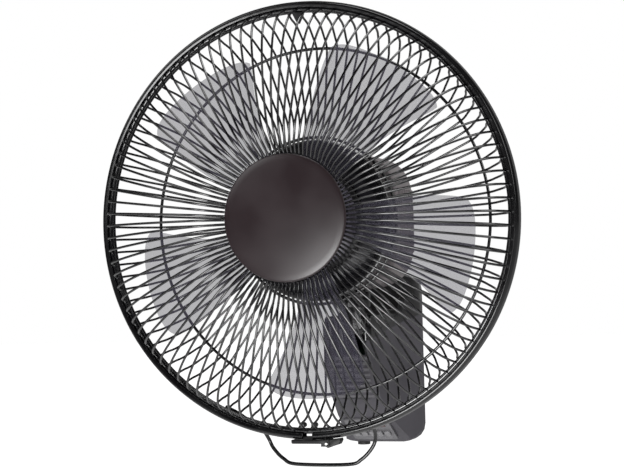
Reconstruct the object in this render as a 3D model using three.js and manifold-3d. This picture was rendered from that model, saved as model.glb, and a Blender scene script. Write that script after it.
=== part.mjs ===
// A wall mounted fan with a 300 mm blade, in millimetres, +Z up.
// The origin is the middle of the wall bracket's back face, the wall is the plane y = 0,
// and the fan blows towards -Y.
import * as THREE from "three";
import { mergeVertices } from "three/addons/utils/BufferGeometryUtils.js";
import Module from "manifold-3d";

const wasm = await Module();
wasm.setup();

// ---- driving dimensions (y is measured back from the front edge of the guard band) ----
const WALL_DISTANCE = 245; // front edge of the band to the wall
const AXIS_HEIGHT = 125; // fan axis above the middle of the wall bracket
const GAP = 0.3; // between pieces that touch
const RUNNING_GAP = 0.8; // between pieces that turn past each other
const ROUND_GAP = 0.7; // between a round piece and the faceted shell around it

const BLADE_RADIUS = 150;
const BLADE_COUNT = 5;
const BLADE_THICKNESS = 2;
const BLADE_FRONT = -13;
const BLADE_BACK = 20;
const BLADE_ANGLE = 40; // degrees of the circle that one blade takes at its tip
const BLADE_PHASE = 129; // degrees, middle of the first blade's tip
const BLADE_SWEEP = 11; // degrees that the middle turns from tip to root
const HUB_RADIUS = 42;
const HUB_FRONT = -22;
const HUB_BACK = 22;
const HUB_WALL = 2.5;
const HUB_BOSS_RADIUS = 12;

const RIM_RADIUS = 176.6; // centre of the guards' rim wires
const RIM_WIRE = 4.6;
const WIRE = 2;
const WIRE_STEP = 12; // degrees between the wires of the solid guards
const BAND_WALL = 1.4;
const BAND_RADIUS = RIM_RADIUS + 7.4;
const BAND_LIP = RIM_RADIUS + 1.1; // inner edge of the band's two lips
const BAND_BULGE = 2.8; // how far the band stands out past its front edge
const BAND_CUT = 9; // opening at the bottom that the clasp bridges

const FRONT_RING_RADIUS = 48;
const RING_DEPTH = 2.6;
const RING_WIDTH = 6;
const FRONT_RING_Y = -40;
// Bend of a front wire between its ring and the rim, as [radius, y].
const FRONT_DOME = [
  [FRONT_RING_RADIUS + 7, FRONT_RING_Y - 0.2], [FRONT_RING_RADIUS + 14, FRONT_RING_Y - 7.5],
  [80, -52.2], [112, -47], [140, -37.7], [RIM_RADIUS - 16.6, -26], [RIM_RADIUS - 4.6, -10],
];
const REAR_RING_RADIUS = 66;
const REAR_RING_Y = 35;
const MID_RING_RADIUS = 149.5;
const MID_RING_Y = 54;
const MID_TO_RIM = RIM_RADIUS - MID_RING_RADIUS;
// Bend of a rear wire between its ring and the rim, as [radius, y].
const REAR_BASKET = [
  [REAR_RING_RADIUS + 14, MID_RING_Y - 6], [REAR_RING_RADIUS + 30, MID_RING_Y],
  [MID_RING_RADIUS, MID_RING_Y], [MID_RING_RADIUS + 0.46 * MID_TO_RIM, MID_RING_Y - 13],
  [MID_RING_RADIUS + 0.81 * MID_TO_RIM, MID_RING_Y - 31],
];

const BADGE_RADIUS = 52.4;
const BADGE_EDGE_Y = -43.2;
const BADGE_DOME = 3.2;
const BADGE_WALL = 2;

const SHAFT_RADIUS = 4;
const SHAFT_FRONT = -27;
const SHAFT_BACK = 118;
const MOTOR_RADIUS = 57;
const MOTOR_WALL = 2.2;
const MOTOR_NOSE_RADIUS = 30;
const MOTOR_SPLIT = 84;
const MOTOR_BACK = 168;
const COVER_HALF_WIDTH = 60; // the motor's rear shell is a square with very round corners
const COVER_ROUNDING = 3.5; // power of its outline, where 2 is a circle
const STATOR_BORE = 27;
const STATOR_FRONT = 62;
const STATOR_DEPTH = 26;
const WINDING_DEPTH = 10;
const BEARING_RADIUS = 10;
const BEARING_DEPTH = 8;
const END_PLATE_FRONT = 102;
const PLATE_THICKNESS = 3;

const SWING_Y = 140; // vertical axis that the head swings about
const SWING_PIN_RADIUS = 6;
const SWING_PIN_TOP = -12;
const GEAR_CASE = { halfWidth: 24, bottom: -34, top: 14, back: 162 };
const GEAR_BOSS_RADIUS = 8.6;
const CRANK_X = 14.5;
const CRANK_Y = 122;
const CRANK_THROW = 9.3;
const CRANK_RADIUS = 11.5;
const CRANK_DEPTH = 3;
const LINK_DEPTH = 2;
const LINK_HALF_WIDTH = 2.6;
const STUD_RADIUS = 2;
const TILT_Y = 150; // horizontal axis that the head tilts about
const TILT_Z = -96;
const TILT_PIN_RADIUS = 4;
const NECK_HALF_WIDTH = 10.2;
const NECK_TONGUE_RADIUS = 12;
const NECK_BOSS_RADIUS = 17;
const NECK_TOP = -62;
const NECK_BOSS_DEPTH = 14;

const BODY_TOP = -46;
const BODY_DECK = -84; // the lower step of the top, under the motor
const BODY_BOTTOM = -206;
const BODY_WALL = 2.5;
const BODY_FRONT = 118;
const BODY_HALF_WIDTH = 39;
const BODY_NOSE_HALF_WIDTH = 22;
const BODY_CORNER = 16;
const SEAM_AT_WALL = -84; // seam between the top cover and the housing
const SEAM_AT_FRONT = -106;
const NOTCH_HALF_WIDTH = 18; // room for the neck in the top cover
const NOTCH_BACK = 173;
const NOTCH_BOTTOM = -119;
const BACK_PLATE = 2;
const BRACKET_THICKNESS = 1.8;
const BRACKET_HALF_WIDTH = 26;
const BRACKET_HALF_HEIGHT = 58;
const BRACKET_HOLE_RADIUS = 2.6;
const SLOT_COUNT = 6;
const SLOT_PITCH = 7.3;
const SLOT_TOP = -118;
const SLOT_HALF_WIDTH = 13;

// Ends of the slope under the front that holds the controls, as [y, z].
const SLOPE_TOP = [BODY_FRONT + 47, BODY_BOTTOM + 30];
const SLOPE_BOTTOM = [BODY_FRONT + 98, BODY_BOTTOM + 2];
const PANEL_THICKNESS = 2.2;
const PANEL_LENGTH = 44;
const PANEL_HALF_WIDTH = 21;
const BUTTON_COUNT = 5;
const BUTTON_PITCH = 7.4;
const BUTTON_WIDTH = 5.2;
const BUTTON_LENGTH = 9;
const BUTTON_STAND = 1.9;
const BUTTON_TRAVEL = 1;
const GLAND_RADIUS = 4;

const HANDLE_WIRE = 3.2;
const HANDLE_HALF_WIDTH = 48;
const HANDLE_BOTTOM = -(BAND_RADIUS + 24);
const HANDLE_Y = 40;
const CLASP_HALF_WIDTH = 14;
const CLASP_THICKNESS = 2.6;
const CLASP_DEPTH = 13;
const CLASP_FRONT = 0.5;
const EAR_THICKNESS = 1.2;
const LEVER_PIN = [CLASP_HALF_WIDTH + 2.6, -(BAND_RADIUS + 3)]; // [x, z]
const LEVER_PIN_RADIUS = 1.1;

const SHAFT_PIN_RADIUS = 1.3;
const SHAFT_PIN_Y = HUB_BACK - 7;
const CHEEK_THICKNESS = 3;
const SCREWS = [[-30, BODY_BOTTOM + 34], [30, BODY_BOTTOM + 34]]; // [x, z], they hold the back plate
const SCREW_BOSS_LENGTH = 14;
const GLAND = [-19, WALL_DISTANCE - 16]; // [x, y]
const BOARD_HALF_WIDTH = 18;
const BOARD_TOP = BODY_DECK - 32;
const BOARD_BOTTOM = BODY_BOTTOM + 34;
const BOARD_FRONT = WALL_DISTANCE - 41;
const BOARD_BACK = BOARD_FRONT + 1.6;
const BOARD_POSTS = [-12, 12].flatMap((x) => [[x, BOARD_TOP - 8], [x, BOARD_BOTTOM + 6]]);
// On the slope: middle of the buttons, and each window's x from and to, y from and to.
const BUTTON_Y = 6;
const LED_WINDOW = [-16, 4, -11, -8];
const RECEIVER_WINDOW = [8, 16, -13, -7];

// ---- materials ----
const finish = (color, roughness, metalness = 0) => ({ color, roughness, metalness });
const BLACK_GLOSS = finish(0x0b0b0c, 0.22);
const BLACK_SATIN = finish(0x141315, 0.45);
const BROWN_SATIN = finish(0x2e2826, 0.4, 0.2);
const HOUSING_GREY = finish(0x454347, 0.5);
const PANEL_GREY = finish(0x8f8d92, 0.45);
const BLADE_GREY = finish(0x9a98a2, 0.2);
const STEEL = finish(0xa8aaac, 0.35, 1);
const COPPER = finish(0xa0522d, 0.4, 0.8);
const CORE = finish(0x55565a, 0.55, 0.7);
const BOARD_GREEN = finish(0x2c5a3a, 0.6);
const CLEAR_DARK = finish(0x2a1012, 0.15);

// ---- solids ----
function solid(geometry) {
  const bare = geometry.clone();
  bare.deleteAttribute("normal");
  bare.deleteAttribute("uv");
  const merged = mergeVertices(bare, 1e-4);
  const triVerts = new Uint32Array(merged.index.array);
  const vertProperties = merged.attributes.position.array;
  return new wasm.Manifold(new wasm.Mesh({ numProp: 3, vertProperties, triVerts }));
}

function geometryOf(manifold) {
  const { vertProperties, triVerts } = manifold.getMesh();
  const geometry = new THREE.BufferGeometry();
  geometry.setAttribute("position", new THREE.BufferAttribute(new Float32Array(vertProperties), 3));
  geometry.setIndex(new THREE.BufferAttribute(new Uint32Array(triVerts), 1));
  const faceted = geometry.toNonIndexed();
  faceted.computeVertexNormals();
  return faceted;
}

const join = (solids) => solids.reduce((all, one) => all.add(one));

// A body of revolution about the fan axis: points are [radius, y].
function turned(points, segments = 32) {
  const profile = points.map(([r, y]) => new THREE.Vector2(r, -y));
  const area = THREE.ShapeUtils.area(profile);
  if (area < 0) profile.reverse();
  return new THREE.LatheGeometry([...profile, profile[0]], segments).rotateZ(Math.PI);
}

// The same for points of [half width, y, squareness]: a round section at 0, a rounded square at 1.
function squared(points, segments) {
  const geometry = turned(points, segments);
  const at = geometry.attributes.position;
  for (let i = 0; i < at.count; i++) {
    const [x, y, z] = [at.getX(i), at.getY(i), at.getZ(i)];
    const r = Math.hypot(x, z);
    const away = points.map(([half, depth]) => Math.hypot(half - r, depth - y));
    const square = points[away.indexOf(Math.min(...away))][2];
    const sum = (Math.abs(x) / (r || 1)) ** COVER_ROUNDING + (Math.abs(z) / (r || 1)) ** COVER_ROUNDING;
    const grow = r > 0 ? 1 + square * (sum ** (-1 / COVER_ROUNDING) - 1) : 1;
    at.setXYZ(i, x * grow, y, z * grow);
  }
  return geometry;
}

// A box between two corners, in head coordinates.
function block([x0, y0, z0], [x1, y1, z1]) {
  return new THREE.BoxGeometry(x1 - x0, y1 - y0, z1 - z0)
    .translate((x0 + x1) / 2, (y0 + y1) / 2, (z0 + z1) / 2);
}

// A cylinder along "x", "y" or "z" from one end to the other, centred on the other two values.
function rod(axis, radius, from, to, [a, b] = [0, 0], segments = 24) {
  const cylinder = new THREE.CylinderGeometry(radius, radius, to - from, segments);
  const middle = (from + to) / 2;
  if (axis === "y") return cylinder.translate(a, middle, b);
  if (axis === "x") return cylinder.rotateZ(-Math.PI / 2).translate(middle, a, b);
  return cylinder.rotateX(Math.PI / 2).translate(a, b, middle);
}

// A ring about an axis through [a, b].
function collar(axis, outer, inner, from, to, at = [0, 0], segments = 24) {
  const hole = solid(rod(axis, inner, from - 1, to + 1, at, segments));
  return solid(rod(axis, outer, from, to, at, segments)).subtract(hole);
}

// An outline of [a, b] points, extruded: in the side view it holds [y, z] and runs along x,
// in the plan [x, y] along z, and in the front view [x, z] along y.
function shapeOf(points) {
  return new THREE.Shape(points.map(([a, b]) => new THREE.Vector2(a, b)));
}
function sideView(points, x0, x1) {
  const matrix = new THREE.Matrix4().set(0, 0, 1, x0, 1, 0, 0, 0, 0, 1, 0, 0, 0, 0, 0, 1);
  return new THREE.ExtrudeGeometry(shapeOf(points), { depth: x1 - x0, bevelEnabled: false })
    .applyMatrix4(matrix);
}
function planView(points, z0, z1) {
  return new THREE.ExtrudeGeometry(shapeOf(points), { depth: z1 - z0, bevelEnabled: false })
    .translate(0, 0, z0);
}
function frontView(points, y0, y1) {
  return new THREE.ExtrudeGeometry(shapeOf(points), { depth: y1 - y0, bevelEnabled: false })
    .rotateX(Math.PI / 2)
    .translate(0, y1, 0);
}

// A rectangle with its four corners rounded, as [a, b] points.
function roundedBox(a0, b0, a1, b1, radius, steps = 4) {
  const corners = [[a1 - radius, b0 + radius, -90], [a1 - radius, b1 - radius, 0],
    [a0 + radius, b1 - radius, 90], [a0 + radius, b0 + radius, 180]];
  const points = [];
  for (const [a, b, start] of corners)
    for (let i = 0; i <= steps; i++) {
      const angle = THREE.MathUtils.degToRad(start + (90 * i) / steps);
      points.push([a + radius * Math.cos(angle), b + radius * Math.sin(angle)]);
    }
  return points;
}

// A flat wire rib: the line of [radius, y] points thickened to the wire's size, turned to its angle.
function rib(points, size, degrees) {
  const line = points.map(([r, y]) => new THREE.Vector2(r, y));
  const normals = line.map((point, i) => {
    const before = line[Math.max(i - 1, 0)];
    const after = line[Math.min(i + 1, line.length - 1)];
    const along = after.clone().sub(before).normalize();
    return new THREE.Vector2(-along.y, along.x).multiplyScalar(size / 2);
  });
  const outer = line.map((point, i) => point.clone().add(normals[i]));
  const inner = line.map((point, i) => point.clone().sub(normals[i])).reverse();
  return new THREE.ExtrudeGeometry(new THREE.Shape([...outer, ...inner]),
    { depth: size, bevelEnabled: false })
    .translate(0, 0, -size / 2)
    .rotateY(-THREE.MathUtils.degToRad(degrees));
}

// A ring of round wire about the fan axis.
function wireRing(radius, y, size, sides = 6, segments = 48) {
  const points = [];
  for (let i = 0; i < sides; i++) {
    const angle = ((i + 0.5) / sides) * 2 * Math.PI;
    points.push([radius + (size / 2) * Math.cos(angle), y + (size / 2) * Math.sin(angle)]);
  }
  return turned(points, segments);
}

const WIRE_ANGLES = [];
for (let angle = 0; angle < 360 - WIRE_STEP / 2; angle += WIRE_STEP) WIRE_ANGLES.push(angle);

// ---- guards and band ----
const FRONT_RIM_Y = BAND_WALL + GAP + RIM_WIRE / 2 + 0.6;
const REAR_RIM_Y = FRONT_RIM_Y + RIM_WIRE + GAP;
const BAND_BACK = REAR_RIM_Y + RIM_WIRE / 2 + GAP + BAND_WALL;

function frontGuard() {
  const start = [FRONT_RING_RADIUS, FRONT_RING_Y];
  const end = [RIM_RADIUS, FRONT_RIM_Y];
  const wires = WIRE_ANGLES.map((angle) => solid(rib([start, ...FRONT_DOME, end], WIRE, angle)));
  const half = RING_WIDTH / 2;
  const ring = turned([
    [FRONT_RING_RADIUS - half, FRONT_RING_Y - RING_DEPTH / 2],
    [FRONT_RING_RADIUS + half, FRONT_RING_Y - RING_DEPTH / 2],
    [FRONT_RING_RADIUS + half, FRONT_RING_Y + RING_DEPTH / 2],
    [FRONT_RING_RADIUS - half, FRONT_RING_Y + RING_DEPTH / 2],
  ], 32);
  return join([solid(wireRing(RIM_RADIUS, FRONT_RIM_Y, RIM_WIRE)), solid(ring), ...wires]);
}

function rearGuard() {
  const start = [REAR_RING_RADIUS, REAR_RING_Y];
  const end = [RIM_RADIUS, REAR_RIM_Y];
  const wires = WIRE_ANGLES.map((angle) => solid(rib([start, ...REAR_BASKET, end], WIRE, angle)));
  const plate = turned([
    [MOTOR_NOSE_RADIUS + GAP, REAR_RING_Y - RING_DEPTH / 2],
    [REAR_RING_RADIUS + RING_WIDTH / 2, REAR_RING_Y - RING_DEPTH / 2],
    [REAR_RING_RADIUS + RING_WIDTH / 2, REAR_RING_Y + RING_DEPTH / 2],
    [MOTOR_NOSE_RADIUS + GAP, REAR_RING_Y + RING_DEPTH / 2],
  ], 32);
  return join([
    solid(wireRing(RIM_RADIUS, REAR_RIM_Y, RIM_WIRE)),
    solid(wireRing(MID_RING_RADIUS, MID_RING_Y, WIRE * 1.2, 4)),
    solid(plate),
    ...wires,
  ]);
}

function guardBand() {
  const edge = BAND_RADIUS - BAND_BULGE;
  const inside = RIM_RADIUS + RIM_WIRE / 2 + GAP;
  const section = [
    [BAND_LIP, 0.6], [edge - 1, 0], [edge, 0], [BAND_RADIUS - 1.2, 3.2], [BAND_RADIUS, 8],
    [BAND_RADIUS - 0.8, BAND_BACK], [BAND_LIP, BAND_BACK], [BAND_LIP, BAND_BACK - BAND_WALL],
    [BAND_RADIUS - 0.8 - BAND_WALL, BAND_BACK - BAND_WALL], [BAND_RADIUS - BAND_WALL, 8],
    [BAND_RADIUS - 1.2 - BAND_WALL, 3.8], [Math.max(edge - BAND_WALL, inside), BAND_WALL + 0.6],
    [BAND_LIP, BAND_WALL + 0.6],
  ];
  const cut = block([-BAND_CUT / 2, -5, -BAND_RADIUS - 5],
    [BAND_CUT / 2, BAND_BACK + 5, -BAND_LIP + 5]);
  return solid(turned(section, 60)).subtract(solid(cut));
}

// The badge is a shallow dome with a skirt, in front of the wires' ring.
function badge() {
  const dome = [];
  const rings = 3;
  for (let i = 0; i <= rings; i++) {
    const share = i / rings;
    dome.push([share * (BADGE_RADIUS - 1), BADGE_EDGE_Y - BADGE_DOME * (1 - share * share)]);
  }
  const front = FRONT_RING_Y - RING_DEPTH / 2 - 2 * GAP;
  const share = 1 - BADGE_WALL / BADGE_RADIUS;
  const inner = dome.map(([r, y]) => [r * share, Math.min(y + BADGE_WALL, front)]).reverse();
  const skirt = [[BADGE_RADIUS, BADGE_EDGE_Y + 1], [BADGE_RADIUS, front],
    [BADGE_RADIUS - BADGE_WALL, front]];
  const boss = collar("y", 5, 2.1, BADGE_EDGE_Y - BADGE_DOME + 1, FRONT_RING_Y + RING_DEPTH / 2);
  return join([solid(turned([...dome, ...skirt, ...inner], 40)), boss]);
}

function badgePlate() {
  const front = FRONT_RING_Y + RING_DEPTH / 2 + GAP;
  return collar("y", FRONT_RING_RADIUS + 2, 2.2, front, front + 2, [0, 0], 40);
}

function badgeScrew() {
  const seat = FRONT_RING_Y + RING_DEPTH / 2 + GAP + 2 + GAP;
  return join([solid(rod("y", 1.8, BADGE_EDGE_Y, seat + 0.5)), solid(rod("y", 3.4, seat, seat + 2))]);
}

// ---- clasp, hooks and handle ----
const CLASP_TOP = -(BAND_RADIUS + GAP);
const CLASP_BACK = CLASP_FRONT + CLASP_DEPTH;
const aroundBand = (gap) => solid(rod("y", BAND_RADIUS + gap, -10, 40, [0, 0], 144));

// The clasp is a plate under the band with a key between the band's ends and two ears for the lever.
function claspBody() {
  const bottom = CLASP_TOP - CLASP_THICKNESS;
  const outline = roundedBox(-CLASP_HALF_WIDTH, bottom, CLASP_HALF_WIDTH, -BAND_LIP, 1.2, 2);
  const [pinX, pinZ] = LEVER_PIN;
  const ear = (y) => solid(block([CLASP_HALF_WIDTH - 2, y, pinZ - 2.2],
    [pinX + 2.2, y + EAR_THICKNESS, -BAND_LIP]));
  const plate = join([solid(frontView(outline, CLASP_FRONT, CLASP_BACK)), ear(CLASP_FRONT),
    ear(CLASP_BACK - EAR_THICKNESS)]);
  const bore = rod("y", LEVER_PIN_RADIUS + GAP, -5, 20, LEVER_PIN, 12);
  const key = block([-BAND_CUT / 2 + GAP, 2, CLASP_TOP - 1],
    [BAND_CUT / 2 - GAP, BAND_BACK - 2, -RIM_RADIUS - RIM_WIRE]);
  return join([plate.subtract(aroundBand(GAP)).subtract(solid(bore)), solid(key)]);
}

function claspLever() {
  const [x, z] = LEVER_PIN;
  const profile = [[x - 2, z + 0.5], [x - 0.8, z - 2.5], [x + 0.9, z - 3.5], [x + 3.4, z - 2.5],
    [x + 10, z - 0.5], [x + 11.6, z + 2.5], [x + 11, z + 8], [x - 2, z + 8]];
  const bore = rod("y", LEVER_PIN_RADIUS + GAP, -5, 20, LEVER_PIN, 12);
  const inset = EAR_THICKNESS + GAP;
  return solid(frontView(profile, CLASP_FRONT + inset, CLASP_BACK - inset))
    .subtract(aroundBand(2 * GAP))
    .subtract(solid(bore));
}
const claspPin = () => solid(rod("y", LEVER_PIN_RADIUS, CLASP_FRONT - 0.5, CLASP_BACK + 0.5,
  LEVER_PIN, 12));

// Small tabs that hook the two rim wires together at the top and the bottom.
function topHook() {
  const inside = RIM_RADIUS - RIM_WIRE / 2 - GAP;
  const tab = [[-4.5, inside], [0, inside - 9], [4.5, inside]];
  return solid(frontView(tab, 1.5, REAR_RIM_Y + 1));
}
function guardClip(x, side) {
  const inside = Math.sqrt((RIM_RADIUS - RIM_WIRE / 2 - GAP) ** 2 - (Math.abs(x) + 2.2) ** 2);
  return solid(rod("y", 2.2, 3, REAR_RIM_Y + 1, [x, side * (inside - 2.2)], 12));
}

// The handle's two ends lie behind the rear rim wire; its loop hangs below the band.
function handle() {
  const behind = REAR_RIM_Y + RIM_WIRE / 2 + GAP + HANDLE_WIRE / 2;
  const atRim = (x, out, y) => [x, y, -Math.sqrt((RIM_RADIUS + out) ** 2 - x ** 2)];
  const half = [
    atRim(HANDLE_HALF_WIDTH + 29, -1.8, behind + 0.1),
    atRim(HANDLE_HALF_WIDTH + 18, -1.4, behind + 0.5),
    atRim(HANDLE_HALF_WIDTH + 9, 2.2, behind + 5),
    atRim(HANDLE_HALF_WIDTH + 2.5, 6.5, behind + 15),
    [HANDLE_HALF_WIDTH, HANDLE_Y, HANDLE_BOTTOM + 21],
    [HANDLE_HALF_WIDTH - 4, HANDLE_Y, HANDLE_BOTTOM + 13],
    [HANDLE_HALF_WIDTH - 13, HANDLE_Y, HANDLE_BOTTOM + 4.5],
    [HANDLE_HALF_WIDTH - 25, HANDLE_Y, HANDLE_BOTTOM],
  ];
  const points = [
    ...half.map(([x, y, z]) => new THREE.Vector3(-x, y, z)),
    ...half.reverse().map(([x, y, z]) => new THREE.Vector3(x, y, z)),
  ];
  const path = new THREE.CatmullRomCurve3(points);
  const circle = new THREE.Shape().absarc(0, 0, HANDLE_WIRE / 2, 0, 2 * Math.PI);
  return solid(new THREE.ExtrudeGeometry(circle, { steps: 36, extrudePath: path, curveSegments: 4,
    bevelEnabled: false }));
}

// ---- blade ----
// A sheet over radius (u from 0 to 1) and circumference (v from -1 to 1), bent out of a box.
function blade(degrees) {
  const sheet = new THREE.BoxGeometry(1, 2, 1, 4, 6, 1);
  const at = sheet.attributes.position;
  const root = HUB_RADIUS - HUB_WALL;
  for (let i = 0; i < at.count; i++) {
    const u = at.getX(i) + 0.5;
    const v = at.getY(i);
    const side = at.getZ(i) * BLADE_THICKNESS;
    const corner = 1 - 0.05 * u ** 16;
    const radius = root + (BLADE_RADIUS - root) * u * (1 - 0.045 * u * Math.abs(v) ** 8);
    const spread = (BLADE_ANGLE / 2) * (0.84 + 0.16 * u) * corner;
    const angle = THREE.MathUtils.degToRad(degrees + BLADE_SWEEP * (1 - u) - v * spread);
    const middle = (BLADE_FRONT + BLADE_BACK) / 2;
    const reach = ((BLADE_BACK - BLADE_FRONT) / 2) * (0.86 + 0.14 * u);
    at.setXYZ(i, radius * Math.cos(angle), middle + reach * (v - 0.12 * (1 - v * v)) + side,
      radius * Math.sin(angle));
  }
  return sheet;
}

function fanBlade() {
  const bore = SHAFT_RADIUS + GAP;
  const inside = HUB_RADIUS - HUB_WALL;
  const hub = turned([
    [bore, HUB_FRONT], [HUB_RADIUS - 8, HUB_FRONT], [HUB_RADIUS - 2, HUB_FRONT + 3],
    [HUB_RADIUS, HUB_FRONT + 10], [HUB_RADIUS, HUB_BACK], [inside, HUB_BACK],
    [inside, HUB_FRONT + 10], [HUB_RADIUS - 9, HUB_FRONT + HUB_WALL],
    [HUB_BOSS_RADIUS, HUB_FRONT + HUB_WALL], [HUB_BOSS_RADIUS, HUB_BACK - 6], [bore, HUB_BACK - 6],
  ], 28);
  const blades = [];
  for (let i = 0; i < BLADE_COUNT; i++) {
    const sheet = solid(blade(BLADE_PHASE + (360 * i) / BLADE_COUNT));
    const room = turned([[0.01, -60], [HUB_RADIUS - HUB_WALL / 2, -60],
      [HUB_RADIUS - HUB_WALL / 2, 60], [0.01, 60]], 28);
    blades.push(sheet.subtract(solid(room)));
  }
  const slot = block([-9.5, HUB_BACK - 9, -1.8], [9.5, HUB_BACK - 5, 1.8]);
  return join([solid(hub), ...blades]).subtract(solid(slot));
}

function spinnerNut() {
  const seat = HUB_FRONT - GAP;
  return solid(turned([[0, seat - 8], [9, seat - 7], [HUB_BOSS_RADIUS, seat - 2],
    [HUB_BOSS_RADIUS, seat], [SHAFT_RADIUS + GAP, seat], [SHAFT_RADIUS + GAP, SHAFT_FRONT - GAP],
    [0, SHAFT_FRONT - GAP]], 24));
}

// ---- motor ----
const PLATE_FRONT = REAR_RING_Y - RING_DEPTH / 2;
const MOTOR_FRONT = REAR_RING_Y + RING_DEPTH / 2 + GAP;
const NOSE_FRONT = PLATE_FRONT - 5;
const BEARING_SEAT = BEARING_RADIUS + GAP;
const BEARING_FRONT = NOSE_FRONT + 4 + GAP;
const MOTOR_BORE = MOTOR_RADIUS - MOTOR_WALL;
const GEAR_CASE_FRONT = END_PLATE_FRONT + BEARING_DEPTH + 1 + GAP;

function guardNut() {
  return collar("y", MOTOR_NOSE_RADIUS + 14, MOTOR_NOSE_RADIUS + GAP, PLATE_FRONT - GAP - 4,
    PLATE_FRONT - GAP, [0, 0], 32);
}

function motorFrontShell() {
  const seat = BEARING_FRONT + BEARING_DEPTH + 2;
  const inside = MOTOR_FRONT + MOTOR_WALL;
  return solid(turned([
    [SHAFT_RADIUS + RUNNING_GAP, NOSE_FRONT], [MOTOR_NOSE_RADIUS - 2, NOSE_FRONT],
    [MOTOR_NOSE_RADIUS, NOSE_FRONT + 2], [MOTOR_NOSE_RADIUS, MOTOR_FRONT],
    [MOTOR_RADIUS - 4, MOTOR_FRONT], [MOTOR_RADIUS, MOTOR_FRONT + 4],
    [MOTOR_RADIUS, MOTOR_SPLIT - GAP / 2], [MOTOR_BORE, MOTOR_SPLIT - GAP / 2],
    [MOTOR_BORE, inside + 3], [MOTOR_BORE - 3, inside],
    [BEARING_SEAT + 3, inside], [BEARING_SEAT + 3, seat], [BEARING_SEAT, seat],
    [BEARING_SEAT, NOSE_FRONT + 4], [SHAFT_RADIUS + RUNNING_GAP, NOSE_FRONT + 4],
  ], 28));
}

const BOSS_ROOM = NECK_BOSS_RADIUS + 1;
function motorRearShell() {
  const wall = MOTOR_WALL;
  const front = MOTOR_SPLIT + GAP / 2;
  const half = COVER_HALF_WIDTH;
  // Each point is a half width, y and how square the shell is there.
  const outer = [[half - 1, front, 1], [half, front + 2, 1], [half, MOTOR_BACK - 28, 1],
    [half - 3.5, MOTOR_BACK - 14, 0.95], [half - 11, MOTOR_BACK - 5, 0.85],
    [half - 20, MOTOR_BACK, 0.7], [0, MOTOR_BACK + 6, 0]];
  const inner = outer.slice(2).reverse().map(([r, y, square]) => [Math.max(r - wall, 0), y - wall, square]);
  const lip = [[half - wall, front + wall + 2, 1], [MOTOR_BORE, front + wall, 0], [MOTOR_BORE, front, 0]];
  const room = rod("z", BOSS_ROOM, -MOTOR_RADIUS - 20, -MOTOR_RADIUS / 2, [0, SWING_Y]);
  const hole = rod("y", 2.2, MOTOR_BACK, MOTOR_BACK + 20, [0, 0], 16);
  return solid(squared([...outer, ...inner, ...lip], 40)).subtract(solid(room)).subtract(solid(hole));
}
function coverScrew() {
  const head = MOTOR_BACK + 6 + GAP;
  return join([solid(rod("y", 1.8, GEAR_CASE.back + GAP, head + 0.5, [0, 0], 16)),
    solid(rod("y", 3.6, head, head + 2.2, [0, 0], 16))]);
}

function statorCore() {
  return collar("y", MOTOR_BORE - ROUND_GAP, STATOR_BORE, STATOR_FRONT, STATOR_FRONT + STATOR_DEPTH,
    [0, 0], 32);
}
function winding(front) {
  return collar("y", STATOR_BORE + 20, STATOR_BORE + 2, front, front + WINDING_DEPTH, [0, 0], 28);
}
function bearing(front) {
  return collar("y", BEARING_RADIUS, SHAFT_RADIUS + GAP, front, front + BEARING_DEPTH);
}
function endPlate() {
  const bore = solid(rod("y", BEARING_SEAT, END_PLATE_FRONT + 1, END_PLATE_FRONT + 30));
  const shaftRoom = solid(rod("y", SHAFT_RADIUS + RUNNING_GAP, END_PLATE_FRONT - 5,
    END_PLATE_FRONT + 5));
  const disc = solid(rod("y", MOTOR_BORE - ROUND_GAP, END_PLATE_FRONT,
    END_PLATE_FRONT + PLATE_THICKNESS, [0, 0], 36));
  const boss = solid(rod("y", BEARING_SEAT + 3, END_PLATE_FRONT, END_PLATE_FRONT + 1 + BEARING_DEPTH,
    [0, 0], 28));
  return join([disc, boss]).subtract(bore).subtract(shaftRoom);
}
function motorShaft() {
  const shaft = solid(rod("y", SHAFT_RADIUS, SHAFT_FRONT, SHAFT_BACK, [0, 0], 20));
  return shaft.subtract(solid(rod("x", SHAFT_PIN_RADIUS + GAP, -20, 20, [SHAFT_PIN_Y, 0], 12)));
}
const shaftPin = () => solid(rod("x", SHAFT_PIN_RADIUS, -9, 9, [SHAFT_PIN_Y, 0], 12));
function rotorCore() {
  const reach = 1;
  return collar("y", STATOR_BORE - RUNNING_GAP, SHAFT_RADIUS + GAP, STATOR_FRONT - reach,
    STATOR_FRONT + STATOR_DEPTH + reach, [0, 0], 32);
}

// ---- swing gear ----
function gearCase() {
  const { halfWidth, bottom, top, back } = GEAR_CASE;
  const box = block([-halfWidth, GEAR_CASE_FRONT, bottom], [halfWidth, back, top]);
  const boss = rod("z", GEAR_BOSS_RADIUS, NECK_TOP + RUNNING_GAP, bottom + 1, [0, SWING_Y]);
  const bore = rod("z", SWING_PIN_RADIUS + GAP, NECK_TOP - 10, SWING_PIN_TOP + GAP, [0, SWING_Y]);
  const shaftRoom = rod("y", SHAFT_RADIUS + RUNNING_GAP, GEAR_CASE_FRONT - 5, SHAFT_BACK + RUNNING_GAP);
  const crankBore = rod("z", STUD_RADIUS + GAP, bottom - 1, bottom + 6, [CRANK_X, CRANK_Y], 16);
  return join([solid(box),
    solid(boss)]).subtract(solid(bore)).subtract(solid(shaftRoom)).subtract(solid(crankBore));
}
const CRANK_TOP = GEAR_CASE.bottom - RUNNING_GAP;
const LINK_TOP = CRANK_TOP - CRANK_DEPTH - GAP;
const CRANK_PIN = [CRANK_X - CRANK_THROW, CRANK_Y];
const STUD = [CRANK_X, SWING_Y];
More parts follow.
